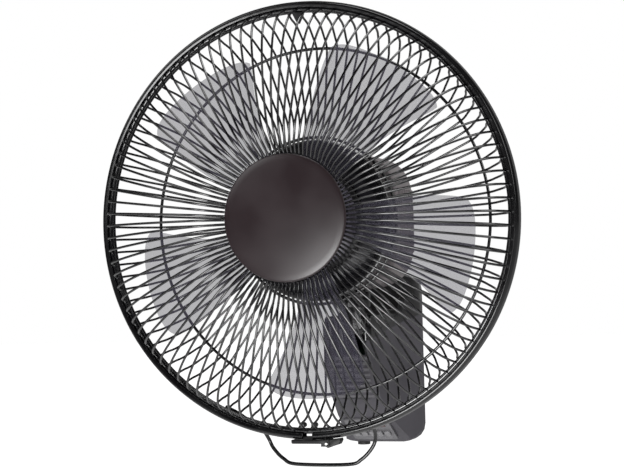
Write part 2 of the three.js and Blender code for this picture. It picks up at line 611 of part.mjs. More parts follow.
function crank() {
  const disc = rod("z", CRANK_RADIUS, CRANK_TOP - CRANK_DEPTH, CRANK_TOP, [CRANK_X, CRANK_Y]);
  const spindle = rod("z", STUD_RADIUS, CRANK_TOP - 1, GEAR_CASE.bottom + 5, [CRANK_X, CRANK_Y], 16);
  const pin = rod("z", STUD_RADIUS, LINK_TOP - LINK_DEPTH - 0.6, CRANK_TOP - 1, CRANK_PIN, 16);
  return join([solid(disc), solid(spindle), solid(pin)]);
}
function linkArm() {
  const bottom = LINK_TOP - LINK_DEPTH;
  const [x0, y0] = CRANK_PIN;
  const [x1, y1] = STUD;
  const length = Math.hypot(x1 - x0, y1 - y0);
  const bar = block([0, -LINK_HALF_WIDTH, bottom], [length, LINK_HALF_WIDTH, LINK_TOP])
    .rotateZ(Math.atan2(y1 - y0, x1 - x0)).translate(x0, y0, 0);
  const eyes = [CRANK_PIN, STUD].map((at) => solid(rod("z", LINK_HALF_WIDTH + 1, bottom, LINK_TOP, at,
    16)));
  const bores = [CRANK_PIN, STUD].map((at) => solid(rod("z", STUD_RADIUS + GAP, bottom - 1,
    LINK_TOP + 1, at, 16)));
  return join([solid(bar), ...eyes]).subtract(join(bores));
}

// ---- neck ----
function neckArm() {
  const boss = rod("z", NECK_BOSS_RADIUS, NECK_TOP - NECK_BOSS_DEPTH, NECK_TOP, [0, SWING_Y], 32);
  const tongue = rod("x", NECK_TONGUE_RADIUS, -NECK_HALF_WIDTH, NECK_HALF_WIDTH, [TILT_Y, TILT_Z]);
  const post = block([-NECK_HALF_WIDTH, SWING_Y - 8, TILT_Z],
    [NECK_HALF_WIDTH, TILT_Y + 8, NECK_TOP - 4]);
  const tiltBore = rod("x", TILT_PIN_RADIUS + GAP, -30, 30, [TILT_Y, TILT_Z], 20);
  const swingBore = rod("z", SWING_PIN_RADIUS + GAP, SWING_PIN_BOTTOM - GAP, 0, [0, SWING_Y]);
  const studBore = rod("z", STUD_RADIUS + GAP, STUD_BOTTOM - GAP, 0, STUD, 16);
  return join([solid(boss), solid(tongue), solid(post)])
    .subtract(join([solid(tiltBore), solid(swingBore), solid(studBore)]));
}
const SWING_PIN_BOTTOM = NECK_TOP - NECK_BOSS_DEPTH + 3;
const STUD_BOTTOM = NECK_TOP - 8;
const swingPin = () => solid(rod("z", SWING_PIN_RADIUS, SWING_PIN_BOTTOM, SWING_PIN_TOP, [0, SWING_Y]));
const driveStud = () => solid(rod("z", STUD_RADIUS, STUD_BOTTOM, LINK_TOP - LINK_DEPTH - 1.5, STUD,
  16));
const tiltPin = () => solid(rod("x", TILT_PIN_RADIUS, -TILT_PIN_HALF, TILT_PIN_HALF, [TILT_Y, TILT_Z],
  20));
const CHEEK_INSIDE = NECK_HALF_WIDTH + GAP;
const TILT_PIN_HALF = CHEEK_INSIDE + CHEEK_THICKNESS + 1.5;
function tiltBracket() {
  const outside = CHEEK_INSIDE + CHEEK_THICKNESS;
  const cheek = (x) => solid(block([x, TILT_Y - 9, TILT_Z - 11],
    [x + CHEEK_THICKNESS, BODY_BACK - GAP, TILT_Z + 8]));
  const cross = solid(block([-outside, BODY_BACK - GAP - CHEEK_THICKNESS, TILT_Z - 11],
    [outside, BODY_BACK - GAP, TILT_Z + 8]));
  const bore = rod("x", TILT_PIN_RADIUS + GAP, -30, 30, [TILT_Y, TILT_Z], 20);
  return join([cheek(CHEEK_INSIDE), cheek(-outside), cross]).subtract(solid(bore));
}

// ---- body on the wall ----
const BODY_BACK = WALL_DISTANCE - BRACKET_THICKNESS - GAP - BACK_PLATE - GAP;

// The outline moved in by a distance along its corners' bisectors; it runs anticlockwise.
function inset(points, distance) {
  return points.map(([a, b], i) => {
    const [pa, pb] = points[(i + points.length - 1) % points.length];
    const [na, nb] = points[(i + 1) % points.length];
    const before = new THREE.Vector2(a - pa, b - pb).normalize();
    const after = new THREE.Vector2(na - a, nb - b).normalize();
    const normal = new THREE.Vector2(-before.y - after.y, before.x + after.x).normalize();
    const stretch = distance / Math.max(normal.dot(new THREE.Vector2(-before.y, before.x)), 0.5);
    return [a + normal.x * stretch, b + normal.y * stretch];
  });
}

// The body's form is where its side view, its plan and its front view all agree.
function bodyForm(distance, back) {
  const side = [[back, BODY_BOTTOM], [back, BODY_TOP], [WALL_DISTANCE - 25, BODY_TOP],
    [WALL_DISTANCE - 38, BODY_TOP - 5], [WALL_DISTANCE - 53, BODY_DECK + 4],
    [WALL_DISTANCE - 61, BODY_DECK], [BODY_FRONT + 12, BODY_DECK],
    [BODY_FRONT + 3, BODY_DECK - 3], [BODY_FRONT, BODY_DECK - 11],
    [BODY_FRONT, BODY_DECK - 28], [BODY_FRONT + 8, BODY_DECK - 48],
    [BODY_FRONT + 24, BODY_DECK - 72], SLOPE_TOP, SLOPE_BOTTOM,
    [SLOPE_BOTTOM[0] + 5, BODY_BOTTOM]];
  const half = [[BODY_NOSE_HALF_WIDTH - 5, BODY_FRONT], [BODY_NOSE_HALF_WIDTH, BODY_FRONT + 6],
    [BODY_NOSE_HALF_WIDTH + 3, BODY_FRONT + 52], [BODY_HALF_WIDTH - 8, BODY_FRONT + 92],
    [BODY_HALF_WIDTH - 1, BODY_FRONT + 116], [BODY_HALF_WIDTH, back]];
  const plan = [...half, ...half.map(([x, y]) => [-x, y]).reverse()];
  const front = roundedBox(-BODY_HALF_WIDTH, BODY_BOTTOM, BODY_HALF_WIDTH, BODY_TOP, BODY_CORNER);
  return solid(sideView(inset(side, distance), -60, 60))
    .intersect(solid(planView(inset(plan, distance), -250, 0)))
    .intersect(solid(frontView(inset(front, distance), 50, 400)));
}
const bodyShell = () => bodyForm(0, BODY_BACK).subtract(bodyForm(BODY_WALL, BODY_BACK + 60));
const neckNotch = () => solid(block([-NOTCH_HALF_WIDTH, 50, NOTCH_BOTTOM],
  [NOTCH_HALF_WIDTH, NOTCH_BACK, 0]));

// Everything above (1) or below (-1) the seam.
function seamSide(way) {
  const rise = (SEAM_AT_WALL - SEAM_AT_FRONT) / (WALL_DISTANCE - BODY_FRONT);
  const at = (y) => SEAM_AT_WALL + rise * (y - WALL_DISTANCE);
  const move = (way * GAP) / 2;
  const far = way > 0 ? 100 : -400;
  const points = [[0, at(0) + move], [400, at(400) + move], [400, far], [0, far]];
  return solid(sideView(way > 0 ? points : points.reverse(), -100, 100));
}
function topCover() {
  return bodyShell().subtract(neckNotch()).intersect(seamSide(1));
}
function housing() {
  const slots = [];
  for (let i = 0; i < SLOT_COUNT; i++) {
    const z = SLOT_TOP - 4 - i * SLOT_PITCH;
    slots.push(solid(block([-SLOT_HALF_WIDTH, 50, z - 1.1],
      [SLOT_HALF_WIDTH, SLOPE_TOP[0] - 5, z + 1.1])));
  }
  const gland = rod("z", GLAND_RADIUS + GAP, BODY_BOTTOM - 10, BODY_BOTTOM + 20, GLAND, 20);
  const bossEnd = BODY_BACK - SCREW_BOSS_LENGTH;
  const screws = SCREWS.map((at) => solid(rod("y", 1.9, bossEnd + 1, BODY_BACK + 10, at, 12)));
  const bosses = SCREWS.map((at) => solid(rod("y", 4.4, bossEnd, BODY_BACK, at, 16)));
  return join([bodyShell().subtract(neckNotch()), ...bosses])
    .intersect(seamSide(-1))
    .subtract(join([...slots, solid(gland), ...screws]));
}

function backPlate() {
  const front = roundedBox(-BODY_HALF_WIDTH, BODY_BOTTOM, BODY_HALF_WIDTH, BODY_TOP, BODY_CORNER);
  const plate = solid(frontView(front, BODY_BACK + GAP, BODY_BACK + GAP + BACK_PLATE));
  const posts = BOARD_POSTS.map((at) => solid(rod("y", 3, BOARD_BACK + GAP, BODY_BACK + GAP + 1, at,
    16)));
  const screws = SCREWS.map((at) => solid(rod("y", 1.9, BODY_BACK - 30, BODY_BACK + 10, at, 12)));
  return join([plate, ...posts]).subtract(join(screws));
}
function plateScrew([x, z]) {
  const seat = BODY_BACK + GAP + BACK_PLATE;
  return solid(rod("y", 1.6, BODY_BACK - SCREW_BOSS_LENGTH + 2, seat, [x, z], 12));
}
function controlBoard() {
  return solid(block([-BOARD_HALF_WIDTH, BOARD_FRONT, BOARD_BOTTOM],
    [BOARD_HALF_WIDTH, BOARD_BACK, BOARD_TOP]));
}
const capacitor = () => solid(rod("y", 8, BOARD_FRONT - GAP - 18, BOARD_FRONT - GAP,
  [-6, BOARD_TOP - 18], 20));
const transformer = () => solid(block([-13, BOARD_FRONT - GAP - 16, BOARD_BOTTOM + 3],
  [11, BOARD_FRONT - GAP, BOARD_BOTTOM + 24]));
function cordGland() {
  const seat = BODY_BOTTOM - GAP;
  const outer = join([solid(rod("z", GLAND_RADIUS + 2, seat - 3, seat, GLAND, 20)),
    solid(rod("z", GLAND_RADIUS, seat - 1, seat + 8, GLAND, 20))]);
  return outer.subtract(solid(rod("z", GLAND_RADIUS - 1.4, seat - 10, seat + 20, GLAND, 16)));
}

// The bracket is screwed to the wall; its back face is the plane of the wall.
function wallBracket() {
  const middle = -AXIS_HEIGHT;
  const outline = roundedBox(-BRACKET_HALF_WIDTH, middle - BRACKET_HALF_HEIGHT, BRACKET_HALF_WIDTH,
    middle + BRACKET_HALF_HEIGHT, 5, 3);
  const plate = solid(frontView(outline, WALL_DISTANCE - BRACKET_THICKNESS, WALL_DISTANCE));
  const holes = [-1, 1].flatMap((sx) => [-1, 1].map((sz) => solid(rod("y", BRACKET_HOLE_RADIUS,
    WALL_DISTANCE - 10, WALL_DISTANCE + 10,
    [sx * (BRACKET_HALF_WIDTH - 8), middle + sz * (BRACKET_HALF_HEIGHT - 9)], 16))));
  return plate.subtract(join(holes));
}

// ---- controls, in the frame of the slope: x to the right, y down the slope, z out of it ----
const SLOPE_ANGLE = Math.atan2(SLOPE_BOTTOM[1] - SLOPE_TOP[1], SLOPE_BOTTOM[0] - SLOPE_TOP[0]);
const slope = new THREE.Group();
slope.position.set(0, (SLOPE_TOP[0] + SLOPE_BOTTOM[0]) / 2, (SLOPE_TOP[1] + SLOPE_BOTTOM[1]) / 2);
slope.rotation.set(SLOPE_ANGLE, 0, 0);
const PANEL_FACE = -(GAP + PANEL_THICKNESS); // z of the panel's outer face, as z points into the body
const BUTTON_X = [];
for (let i = 0; i < BUTTON_COUNT; i++) BUTTON_X.push((i - (BUTTON_COUNT - 1) / 2) * BUTTON_PITCH);

function buttonAt(x, grow) {
  const points = roundedBox(x - BUTTON_WIDTH / 2 - grow, BUTTON_Y - BUTTON_LENGTH / 2 - grow,
    x + BUTTON_WIDTH / 2 + grow, BUTTON_Y + BUTTON_LENGTH / 2 + grow, 1.2, 2);
  const out = PANEL_FACE - (grow ? 5 : BUTTON_STAND);
  const into = grow ? 5 : -BUTTON_TRAVEL - 2 * GAP;
  return solid(planView(points, out, into));
}
function windowAt(x0, x1, y0, y1, grow) {
  const into = grow ? 5 : -2 * GAP;
  return solid(block([x0 - grow, y0 - grow, PANEL_FACE - (grow ? 5 : 0.2)],
    [x1 + grow, y1 + grow, into]));
}
function controlPanel() {
  const half = PANEL_LENGTH / 2;
  const plate = solid(planView(roundedBox(-PANEL_HALF_WIDTH, -half, PANEL_HALF_WIDTH, half, 3),
    PANEL_FACE, -GAP));
  const holes = BUTTON_X.map((x) => buttonAt(x, GAP));
  return plate.subtract(join([...holes, windowAt(...LED_WINDOW, GAP),
    windowAt(...RECEIVER_WINDOW, GAP)]));
}

// ---- assembly ----
const fan = new THREE.Group();
const head = new THREE.Group();
head.position.set(0, -WALL_DISTANCE, AXIS_HEIGHT);
fan.add(head);
head.add(slope);

function place(name, manifold, look, group = head) {
  const mesh = new THREE.Mesh(geometryOf(manifold), new THREE.MeshStandardMaterial(look));
  mesh.name = name;
  group.add(mesh);
}

place("wall_bracket", wallBracket(), STEEL);
place("back_plate", backPlate(), HOUSING_GREY);
place("housing", housing(), HOUSING_GREY);
place("top_cover", topCover(), BLACK_GLOSS);
place("tilt_bracket", tiltBracket(), STEEL);
place("tilt_pin", tiltPin(), STEEL);
SCREWS.forEach((at, i) => place(["plate_screw_left", "plate_screw_right"][i], plateScrew(at), STEEL));
place("control_board", controlBoard(), BOARD_GREEN);
place("capacitor", capacitor(), BLACK_SATIN);
place("transformer", transformer(), COPPER);
place("cord_gland", cordGland(), BLACK_SATIN);
place("control_panel", controlPanel(), PANEL_GREY, slope);
place("led_window", windowAt(...LED_WINDOW, 0), CLEAR_DARK, slope);
place("receiver_window", windowAt(...RECEIVER_WINDOW, 0), CLEAR_DARK, slope);
BUTTON_X.forEach((x, i) => place(`button_${i + 1}`, buttonAt(x, 0), PANEL_GREY, slope));

place("neck_arm", neckArm(), BLACK_GLOSS);
place("swing_pin", swingPin(), STEEL);
place("drive_stud", driveStud(), STEEL);

place("gear_case", gearCase(), BLACK_SATIN);
place("crank", crank(), STEEL);
place("link_arm", linkArm(), STEEL);
place("motor_front_shell", motorFrontShell(), BLACK_GLOSS);
place("motor_rear_shell", motorRearShell(), BROWN_SATIN);
place("motor_end_plate", endPlate(), STEEL);
place("cover_screw", coverScrew(), STEEL);
place("stator_core", statorCore(), CORE);
place("front_winding", winding(STATOR_FRONT - GAP - WINDING_DEPTH), COPPER);
place("rear_winding", winding(STATOR_FRONT + STATOR_DEPTH + GAP), COPPER);
place("front_bearing", bearing(BEARING_FRONT), STEEL);
place("rear_bearing", bearing(END_PLATE_FRONT + 1 + GAP), STEEL);
place("motor_shaft", motorShaft(), STEEL);
place("rotor_core", rotorCore(), CORE);
place("shaft_pin", shaftPin(), STEEL);
place("fan_blade", fanBlade(), BLADE_GREY);
place("spinner_nut", spinnerNut(), BLACK_SATIN);

place("guard_nut", guardNut(), BLACK_SATIN);
place("rear_guard", rearGuard(), BLACK_GLOSS);
place("front_guard", frontGuard(), BLACK_GLOSS);
place("guard_band", guardBand(), BLACK_GLOSS);
place("badge", badge(), BROWN_SATIN);
place("badge_plate", badgePlate(), BLACK_SATIN);
place("badge_screw", badgeScrew(), STEEL);
place("clasp_body", claspBody(), BLACK_SATIN);
place("clasp_lever", claspLever(), BLACK_SATIN);
place("clasp_pin", claspPin(), STEEL);
place("top_hook", topHook(), BLACK_SATIN);
place("guard_clip_left", guardClip(-5, -1), BLACK_SATIN);
place("guard_clip_right", guardClip(5, -1), BLACK_SATIN);
place("handle", handle(), BLACK_GLOSS);

export default fan;
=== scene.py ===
# %% [markdown]
# # A wall mounted fan
#
# A CAD model gives this fan its sizes and its joints. Here it gets its looks: the round wires
# of the guards, the gloss of black enamel, the smoke grey of the blades and the grain of the
# moulded body. Every new piece rides on the CAD body that carries it, so it tilts, swings and
# spins with the mechanism. Run the cells from top to bottom.

# %% Load the mechanism
import math

import bmesh
import bpy
import numpy as np
from mathutils import Matrix, Vector


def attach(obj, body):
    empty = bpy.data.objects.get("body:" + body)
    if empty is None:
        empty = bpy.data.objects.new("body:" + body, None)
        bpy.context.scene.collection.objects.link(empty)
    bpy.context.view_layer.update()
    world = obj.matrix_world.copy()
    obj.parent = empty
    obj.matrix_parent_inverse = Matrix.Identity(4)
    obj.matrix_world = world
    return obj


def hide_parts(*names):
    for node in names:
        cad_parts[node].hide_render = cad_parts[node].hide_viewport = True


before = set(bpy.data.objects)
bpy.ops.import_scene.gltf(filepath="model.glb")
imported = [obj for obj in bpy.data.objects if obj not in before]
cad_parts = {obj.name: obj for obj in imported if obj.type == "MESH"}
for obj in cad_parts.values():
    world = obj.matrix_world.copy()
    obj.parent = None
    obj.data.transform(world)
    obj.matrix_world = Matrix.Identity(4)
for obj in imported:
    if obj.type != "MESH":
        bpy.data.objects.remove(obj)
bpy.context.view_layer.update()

# %% [markdown]
# ## One frame for the head
#
# The guards, the badge, the blades and the motor all share one axis, so they are drawn about
# it: x to the right, y back from the front edge of the band, z up from the axis, in
# millimetres. `HEAD` is where that frame sits on the wall, in metres.

# %% The head's frame
MM = 0.001
HEAD = Vector((0.0, -0.245, 0.125))
RIM_RADIUS = 176.6
FRONT_RIM_Y = 4.6
REAR_RIM_Y = 9.5
MIDDLE_RING_RADIUS = 149.5
INNER_RING_RADIUS = 71.5
WIRE = 2.0
RING_WIRE = 2.6
RIM_WIRE = 4.6
HANDLE_WIRE = 3.2
WIRE_COUNT = 100
BLADE_COUNT = 5
BLADE_RADIUS = 150.0
BLADE_THICKNESS = 1.9


def on_wall(x, y, z):
    """A point of the head's frame, in millimetres, as a place in the scene."""
    return Vector((x, y, z)) * MM + HEAD


def from_mesh(name, mesh):
    """A new object with this mesh, at the origin."""
    obj = bpy.data.objects.new(name, mesh)
    bpy.context.scene.collection.objects.link(obj)
    return obj


def settled(obj):
    """Turns what the modifiers make into a plain mesh and removes them."""
    bpy.context.view_layer.update()
    seen = obj.evaluated_get(bpy.context.evaluated_depsgraph_get())
    mesh = bpy.data.meshes.new_from_object(seen)
    obj.modifiers.clear()
    obj.data = mesh
    return obj


def joined(name, objects):
    """One object from several that have one material."""
    bm = bmesh.new()
    for obj in objects:
        bm.from_mesh(obj.data)
    mesh = bpy.data.meshes.new(name)
    bm.to_mesh(mesh)
    bm.free()
    for obj in objects:
        if obj.data.materials and not mesh.materials:
            mesh.materials.append(obj.data.materials[0])
        bpy.data.objects.remove(obj)
    return from_mesh(name, mesh)


def hand_over(obj, body, finish, slot, *nodes):
    """Gives a finished piece its material, its body and the CAD nodes it stands for. Its slot is
    not used.
    """
    obj.data.materials.clear()
    obj.data.materials.append(finish)
    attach(obj, body)
    if nodes:
        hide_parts(*nodes)
    print(obj.name, "on", body, len(obj.data.polygons), "faces")
    return obj


# %% [markdown]
# ## Rounded turned shapes
#
# Pressed and moulded round parts have no truly sharp corner. A section is written as a few
# corners, each corner is rounded by a short curve, and the section is turned about the axis.
# Edges that stay sharper than 30 degrees keep a crisp line, and the rest shades smoothly.

# %% Turning a rounded section
SHARP = math.radians(30)


def rounded(points, cut, closed=True, steps=4):
    """The same line with each corner replaced by a curve that starts `cut` before it."""
    points = [np.array(p, float) for p in points]
    count = len(points)
    line = []
    for i, here in enumerate(points):
        if not closed and i in (0, count - 1):
            line.append(here)
            continue
        before = points[i - 1] - here
        after = points[(i + 1) % count] - here
        reach = min(cut, 0.45 * np.linalg.norm(before), 0.45 * np.linalg.norm(after))
        start = here + before / np.linalg.norm(before) * reach
        end = here + after / np.linalg.norm(after) * reach
        for t in np.linspace(0, 1, steps + 1):
            line.append((1 - t) ** 2 * start + 2 * t * (1 - t) * here + t**2 * end)
    return line


def smooth_line(points, count):
    """A smooth line through the points, evenly spaced."""
    p = np.array(points, float)
    p = np.vstack([2 * p[0] - p[1], p, 2 * p[-1] - p[-2]])
    fine = []
    for i in range(1, len(p) - 2):
        for t in np.linspace(0, 1, 16, endpoint=False):
            a, b, c, d = p[i - 1 : i + 3]
            pull = (-a + 3 * b - 3 * c + d) * t**3 + (2 * a - 5 * b + 4 * c - d) * t**2
            fine.append(0.5 * (pull + (c - a) * t + 2 * b))
    fine.append(p[-2])
    fine = np.array(fine)
    run = np.r_[0, np.cumsum(np.linalg.norm(np.diff(fine, axis=0), axis=1))]
    at = np.linspace(0, run[-1], count)
    return np.stack([np.interp(at, run, fine[:, k]) for k in range(fine.shape[1])], axis=1)


def shaded(mesh, angle=SHARP):
    """Smooth shading, with a crisp line at each edge sharper than the angle."""
    mesh.shade_smooth()
    mesh.set_sharp_from_angle(angle=angle)
    return mesh


def turned(name, section, steps=128, closed=True, gap=0.0, power=2.0):
    """A section of (radius, y) corners turned about the fan's axis; gap leaves an opening below.

    A third number makes the section square there, from 0 for round to 1, with that power."""
    bm = bmesh.new()
    rings = []
    whole = gap == 0.0
    turns = np.linspace(0, 2 * math.pi, steps + 1)
    if not whole:
        turns = np.linspace(gap / 2, 2 * math.pi - gap / 2, steps + 1)
    for turn in turns[:-1] if whole else turns:
        x, z = -math.sin(turn), -math.cos(turn)
        square = (abs(x) ** power + abs(z) ** power) ** (-1 / power) - 1
        ring_verts = []
        for r, y, *amount in section:
            reach = r * (1 + square * (amount[0] if amount else 0.0))
            ring_verts.append(bm.verts.new(on_wall(reach * x, y, reach * z)))
        rings.append(ring_verts)
    last = len(section) if closed else len(section) - 1
    for i in range(steps):
        near, far = rings[i], rings[(i + 1) % len(rings)]
        for j in range(last):
            k = (j + 1) % len(section)
            bm.faces.new((near[j], near[k], far[k], far[j]))
    if not whole:
        bm.faces.new(rings[0])
        bm.faces.new(rings[-1][::-1])
    bmesh.ops.remove_doubles(bm, verts=bm.verts, dist=1e-6)
    bmesh.ops.dissolve_degenerate(bm, edges=bm.edges, dist=1e-7)
    bmesh.ops.recalc_face_normals(bm, faces=bm.faces)
    mesh = bpy.data.meshes.new(name)
    bm.to_mesh(mesh)
    bm.free()
    return from_mesh(name, shaded(mesh))


# %% [markdown]
# ## Softened copies of the solids
#
# The body, the clasp and the gear case have the right form in CAD, with knife-sharp edges. A
# real moulding has a small radius on every edge, and that radius is what catches the light.
# A copy of the solid has its loose triangles merged back into flat faces, and then a narrow
# bevel.

# %% Softening a solid


def softened(node, width, angle=SHARP, segments=2):
    """A copy of a CAD node with its edges rounded by `width` millimetres."""
    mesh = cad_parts[node].data.copy()
    bm = bmesh.new()
    bm.from_mesh(mesh)
    bmesh.ops.remove_doubles(bm, verts=bm.verts, dist=2e-6)
    bmesh.ops.dissolve_limit(bm, angle_limit=math.radians(1.0), verts=bm.verts, edges=bm.edges)
    bm.to_mesh(mesh)
    bm.free()
    obj = from_mesh(node + "_look", mesh)
    bevel = obj.modifiers.new("soft edges", "BEVEL")
    bevel.width = width * MM
    bevel.segments = segments
    bevel.limit_method = "ANGLE"
    bevel.angle_limit = angle
    bevel.use_clamp_overlap = True
    settled(obj)
    shaded(obj.data, math.radians(40))
    return obj


# %% [markdown]
# ## Shared surface effects
#
# Three effects are used by many materials, so each is a shader node group of its own. One
# gives the fine grain of a moulded or painted surface. One finds the convex edges, where hands
# and cleaning wear a surface first and where some finishes get a painted highlight. One finds
# the upward faces, where dust settles. They read Object coordinates, so they stay on the piece
# when it moves.

# %% Small helpers for node trees


def add(tree, kind, inputs=None, **settings):
    """A node with its settings, its inputs given as values or as sockets to link."""
    node = tree.nodes.new(kind)
    for key, value in settings.items():
        setattr(node, key, value)
    for key, value in (inputs or {}).items():
        if isinstance(value, bpy.types.NodeSocket):
            tree.links.new(value, node.inputs[key])
        else:
            node.inputs[key].default_value = value
    return node


def group_of(name, kind, inputs, outputs):
    """An empty node group with named sockets; inputs are (name, type, value)."""
    tree = bpy.data.node_groups.new(name, kind)
    for label, socket, value in inputs:
        made = tree.interface.new_socket(label, in_out="INPUT", socket_type="NodeSocket" + socket)
        if value is not None:
            made.default_value = value
    for label, socket in outputs:
        tree.interface.new_socket(label, in_out="OUTPUT", socket_type="NodeSocket" + socket)
    return tree, tree.nodes.new("NodeGroupInput"), tree.nodes.new("NodeGroupOutput")


# %% Grain, polished edges and dust
def grain_group():
    """Fine grain as a height, and a slow mottle from 0 to 1."""
    tree, entry, out = group_of(
        "surface grain", "ShaderNodeTree",
        [("Vector", "Vector", None), ("Scale", "Float", 900.0), ("Waves", "Float", 25.0)],
        [("Height", "Float"), ("Mottle", "Float")],
    )
    fine = add(tree, "ShaderNodeTexNoise", {
        "Vector": entry.outputs["Vector"], "Scale": entry.outputs["Scale"], "Detail": 3.0,
        "Roughness": 0.6})
    waves = add(tree, "ShaderNodeTexNoise", {
        "Vector": entry.outputs["Vector"], "Scale": entry.outputs["Waves"], "Detail": 2.0})
    spread = add(tree, "ShaderNodeMapRange", {
        "Value": waves.outputs["Fac"], "From Min": 0.35, "From Max": 0.65})
    tree.links.new(fine.outputs["Fac"], out.inputs["Height"])
    tree.links.new(spread.outputs["Result"], out.inputs["Mottle"])
    return tree


def edge_group():
    """A mask of the convex edges, broken up a little, for wear and for painted edge highlights.
    """
    tree, entry, out = group_of(
        "edge wear and painted highlight", "ShaderNodeTree",
        [("Vector", "Vector", None), ("Amount", "Float", 0.5)], [("Mask", "Float")],
    )
    form = tree.nodes.new("ShaderNodeNewGeometry")
    edge = add(tree, "ShaderNodeMapRange", {
        "Value": form.outputs["Pointiness"], "From Min": 0.52, "From Max": 0.6})
    broken = add(tree, "ShaderNodeTexNoise", {"Vector": entry.outputs["Vector"], "Scale": 120.0})
    uneven = add(tree, "ShaderNodeMath", {0: edge.outputs["Result"], 1: broken.outputs["Fac"]},
                 operation="MULTIPLY")
    mask = add(tree, "ShaderNodeMath", {0: uneven.outputs[0], 1: entry.outputs["Amount"]},
               operation="MULTIPLY", use_clamp=True)
    tree.links.new(mask.outputs[0], out.inputs["Mask"])
    return tree


def dust_group():
    """A mask of the upward faces, in patches."""
    tree, entry, out = group_of(
        "settled dust", "ShaderNodeTree",
        [("Vector", "Vector", None), ("Amount", "Float", 0.1)], [("Mask", "Float")],
    )
    form = tree.nodes.new("ShaderNodeNewGeometry")
    way = add(tree, "ShaderNodeSeparateXYZ", {"Vector": form.outputs["Normal"]})
    upward = add(tree, "ShaderNodeMapRange", {
        "Value": way.outputs["Z"], "From Min": 0.3, "From Max": 1.0})
    patchy = add(tree, "ShaderNodeTexNoise", {
        "Vector": entry.outputs["Vector"], "Scale": 60.0, "Detail": 5.0})
    both = add(tree, "ShaderNodeMath", {0: upward.outputs["Result"], 1: patchy.outputs["Fac"]},
               operation="MULTIPLY")
    mask = add(tree, "ShaderNodeMath", {0: both.outputs[0], 1: entry.outputs["Amount"]},
               operation="MULTIPLY", use_clamp=True)
    tree.links.new(mask.outputs[0], out.inputs["Mask"])
    return tree


GRAIN = grain_group()
EDGES = edge_group()
DUST = dust_group()

# %% [markdown]
# ## Finishes
#
# Each finish mixes its colour with a slightly different one by a slow mottle, lightens it at
# convex edges, as wear and, with a bright edge colour, as a painted highlight, and greys it
# where dust lies. Roughness follows the same mottle, and the fine grain becomes a bump. What is
# the same all over, such as metal, coat or alpha, is set on the shader's own socket.

# %% Making a finish
WAVES = 28.0  # scale of the slow mottle
DUST_COLOR = (0.45, 0.43, 0.4, 1.0)


def finish(name, color, roughness, variation=0.12, grain=900.0, depth=0.02, edges=0.25,
           edge_color=None, dust=0.06, **plain):
    """A material; depth is the grain's height in mm, plain the shader's own values."""
    material = bpy.data.materials.new(name)
    material.use_nodes = True
    tree = material.node_tree
    skin = tree.nodes["Principled BSDF"]
    where = tree.nodes.new("ShaderNodeTexCoord").outputs["Object"]
    base = (*color, 1.0)
    other = (*[min(1.0, c * (1 + 2.5 * variation) + 0.002) for c in color], 1.0)
    light = (*(edge_color or [min(1.0, c * 2 + 0.03) for c in color]), 1.0)
    surface = add(tree, "ShaderNodeGroup", {"Vector": where, "Scale": grain, "Waves": WAVES},
                  node_tree=GRAIN)
    # Convex edges are lightened: worn edges, and a painted highlight where the edge colour is
    # bright.
    edge_wear_and_highlight = add(tree, "ShaderNodeGroup", {"Vector": where, "Amount": edges}, node_tree=EDGES)
    dusty = add(tree, "ShaderNodeGroup", {"Vector": where, "Amount": dust}, node_tree=DUST)

    def mix(first, second, factor):
        node = add(tree, "ShaderNodeMix", data_type="RGBA")
        for socket, value in (("A_Color", first), ("B_Color", second), ("Factor_Float", factor)):
            target = next(i for i in node.inputs if i.identifier == socket)
            if isinstance(value, bpy.types.NodeSocket):
                tree.links.new(value, target)
            else:
                target.default_value = value
        return next(o for o in node.outputs if o.identifier == "Result_Color")

    mottled = mix(base, other, surface.outputs["Mottle"])
    edged = mix(mottled, light, edge_wear_and_highlight.outputs["Mask"])
    dusted = mix(edged, DUST_COLOR, dusty.outputs["Mask"])
    tree.links.new(dusted, skin.inputs["Base Color"])
    rough = add(tree, "ShaderNodeMapRange", {
        "Value": surface.outputs["Mottle"], "To Min": roughness * (1 - variation),
        "To Max": min(1.0, roughness * (1 + 2 * variation))})
    tree.links.new(rough.outputs["Result"], skin.inputs["Roughness"])
    bump = add(tree, "ShaderNodeBump", {
        "Height": surface.outputs["Height"], "Strength": 0.4, "Distance": depth * MM})
    tree.links.new(bump.outputs["Normal"], skin.inputs["Normal"])
    for socket, value in plain.items():
        skin.inputs[socket.replace("_", " ")].default_value = value
    return material


# %% The fan's finishes
ENAMEL = finish("black wire enamel", (0.0022, 0.002, 0.0028), 0.2, depth=0.004, edges=0.0,
                dust=0.0, Specular_IOR_Level=0.9, Coat_Weight=0.9, Coat_Roughness=0.12)
BAND_GLOSS = finish("black band lacquer", (0.0032, 0.003, 0.0036), 0.2, edges=0.06,
                    depth=0.004, dust=0.01, Coat_Weight=0.4, Coat_Roughness=0.1)
BLACK_GLOSS = finish("gloss black moulding", (0.0026, 0.0024, 0.003), 0.12, edges=0.1,
                     grain=700.0, depth=0.006, Coat_Weight=0.2, Coat_Roughness=0.08)
BLACK_SATIN = finish("satin black moulding", (0.008, 0.0078, 0.0086), 0.42, depth=0.03)
# The badge rim is lightened to grey by the edge mask: part worn paint, part a painted highlight
# of the bright rim line.
BROWN_SATIN = finish("satin dark brown paint", (0.016, 0.0074, 0.0096), 0.32, grain=2600.0,
                     depth=0.006, variation=0.06, edges=0.3, edge_color=(0.3, 0.29, 0.29),
                     Specular_IOR_Level=0.7)
MOTOR_BROWN = finish("brown grey motor paint", (0.19, 0.168, 0.174), 0.34, grain=1600.0,
                     depth=0.012, Metallic=0.15)
HOUSING_GREY = finish("dark grey grained moulding", (0.064, 0.0605, 0.0705), 0.5, grain=1500.0,
                      depth=0.05, edges=0.35)
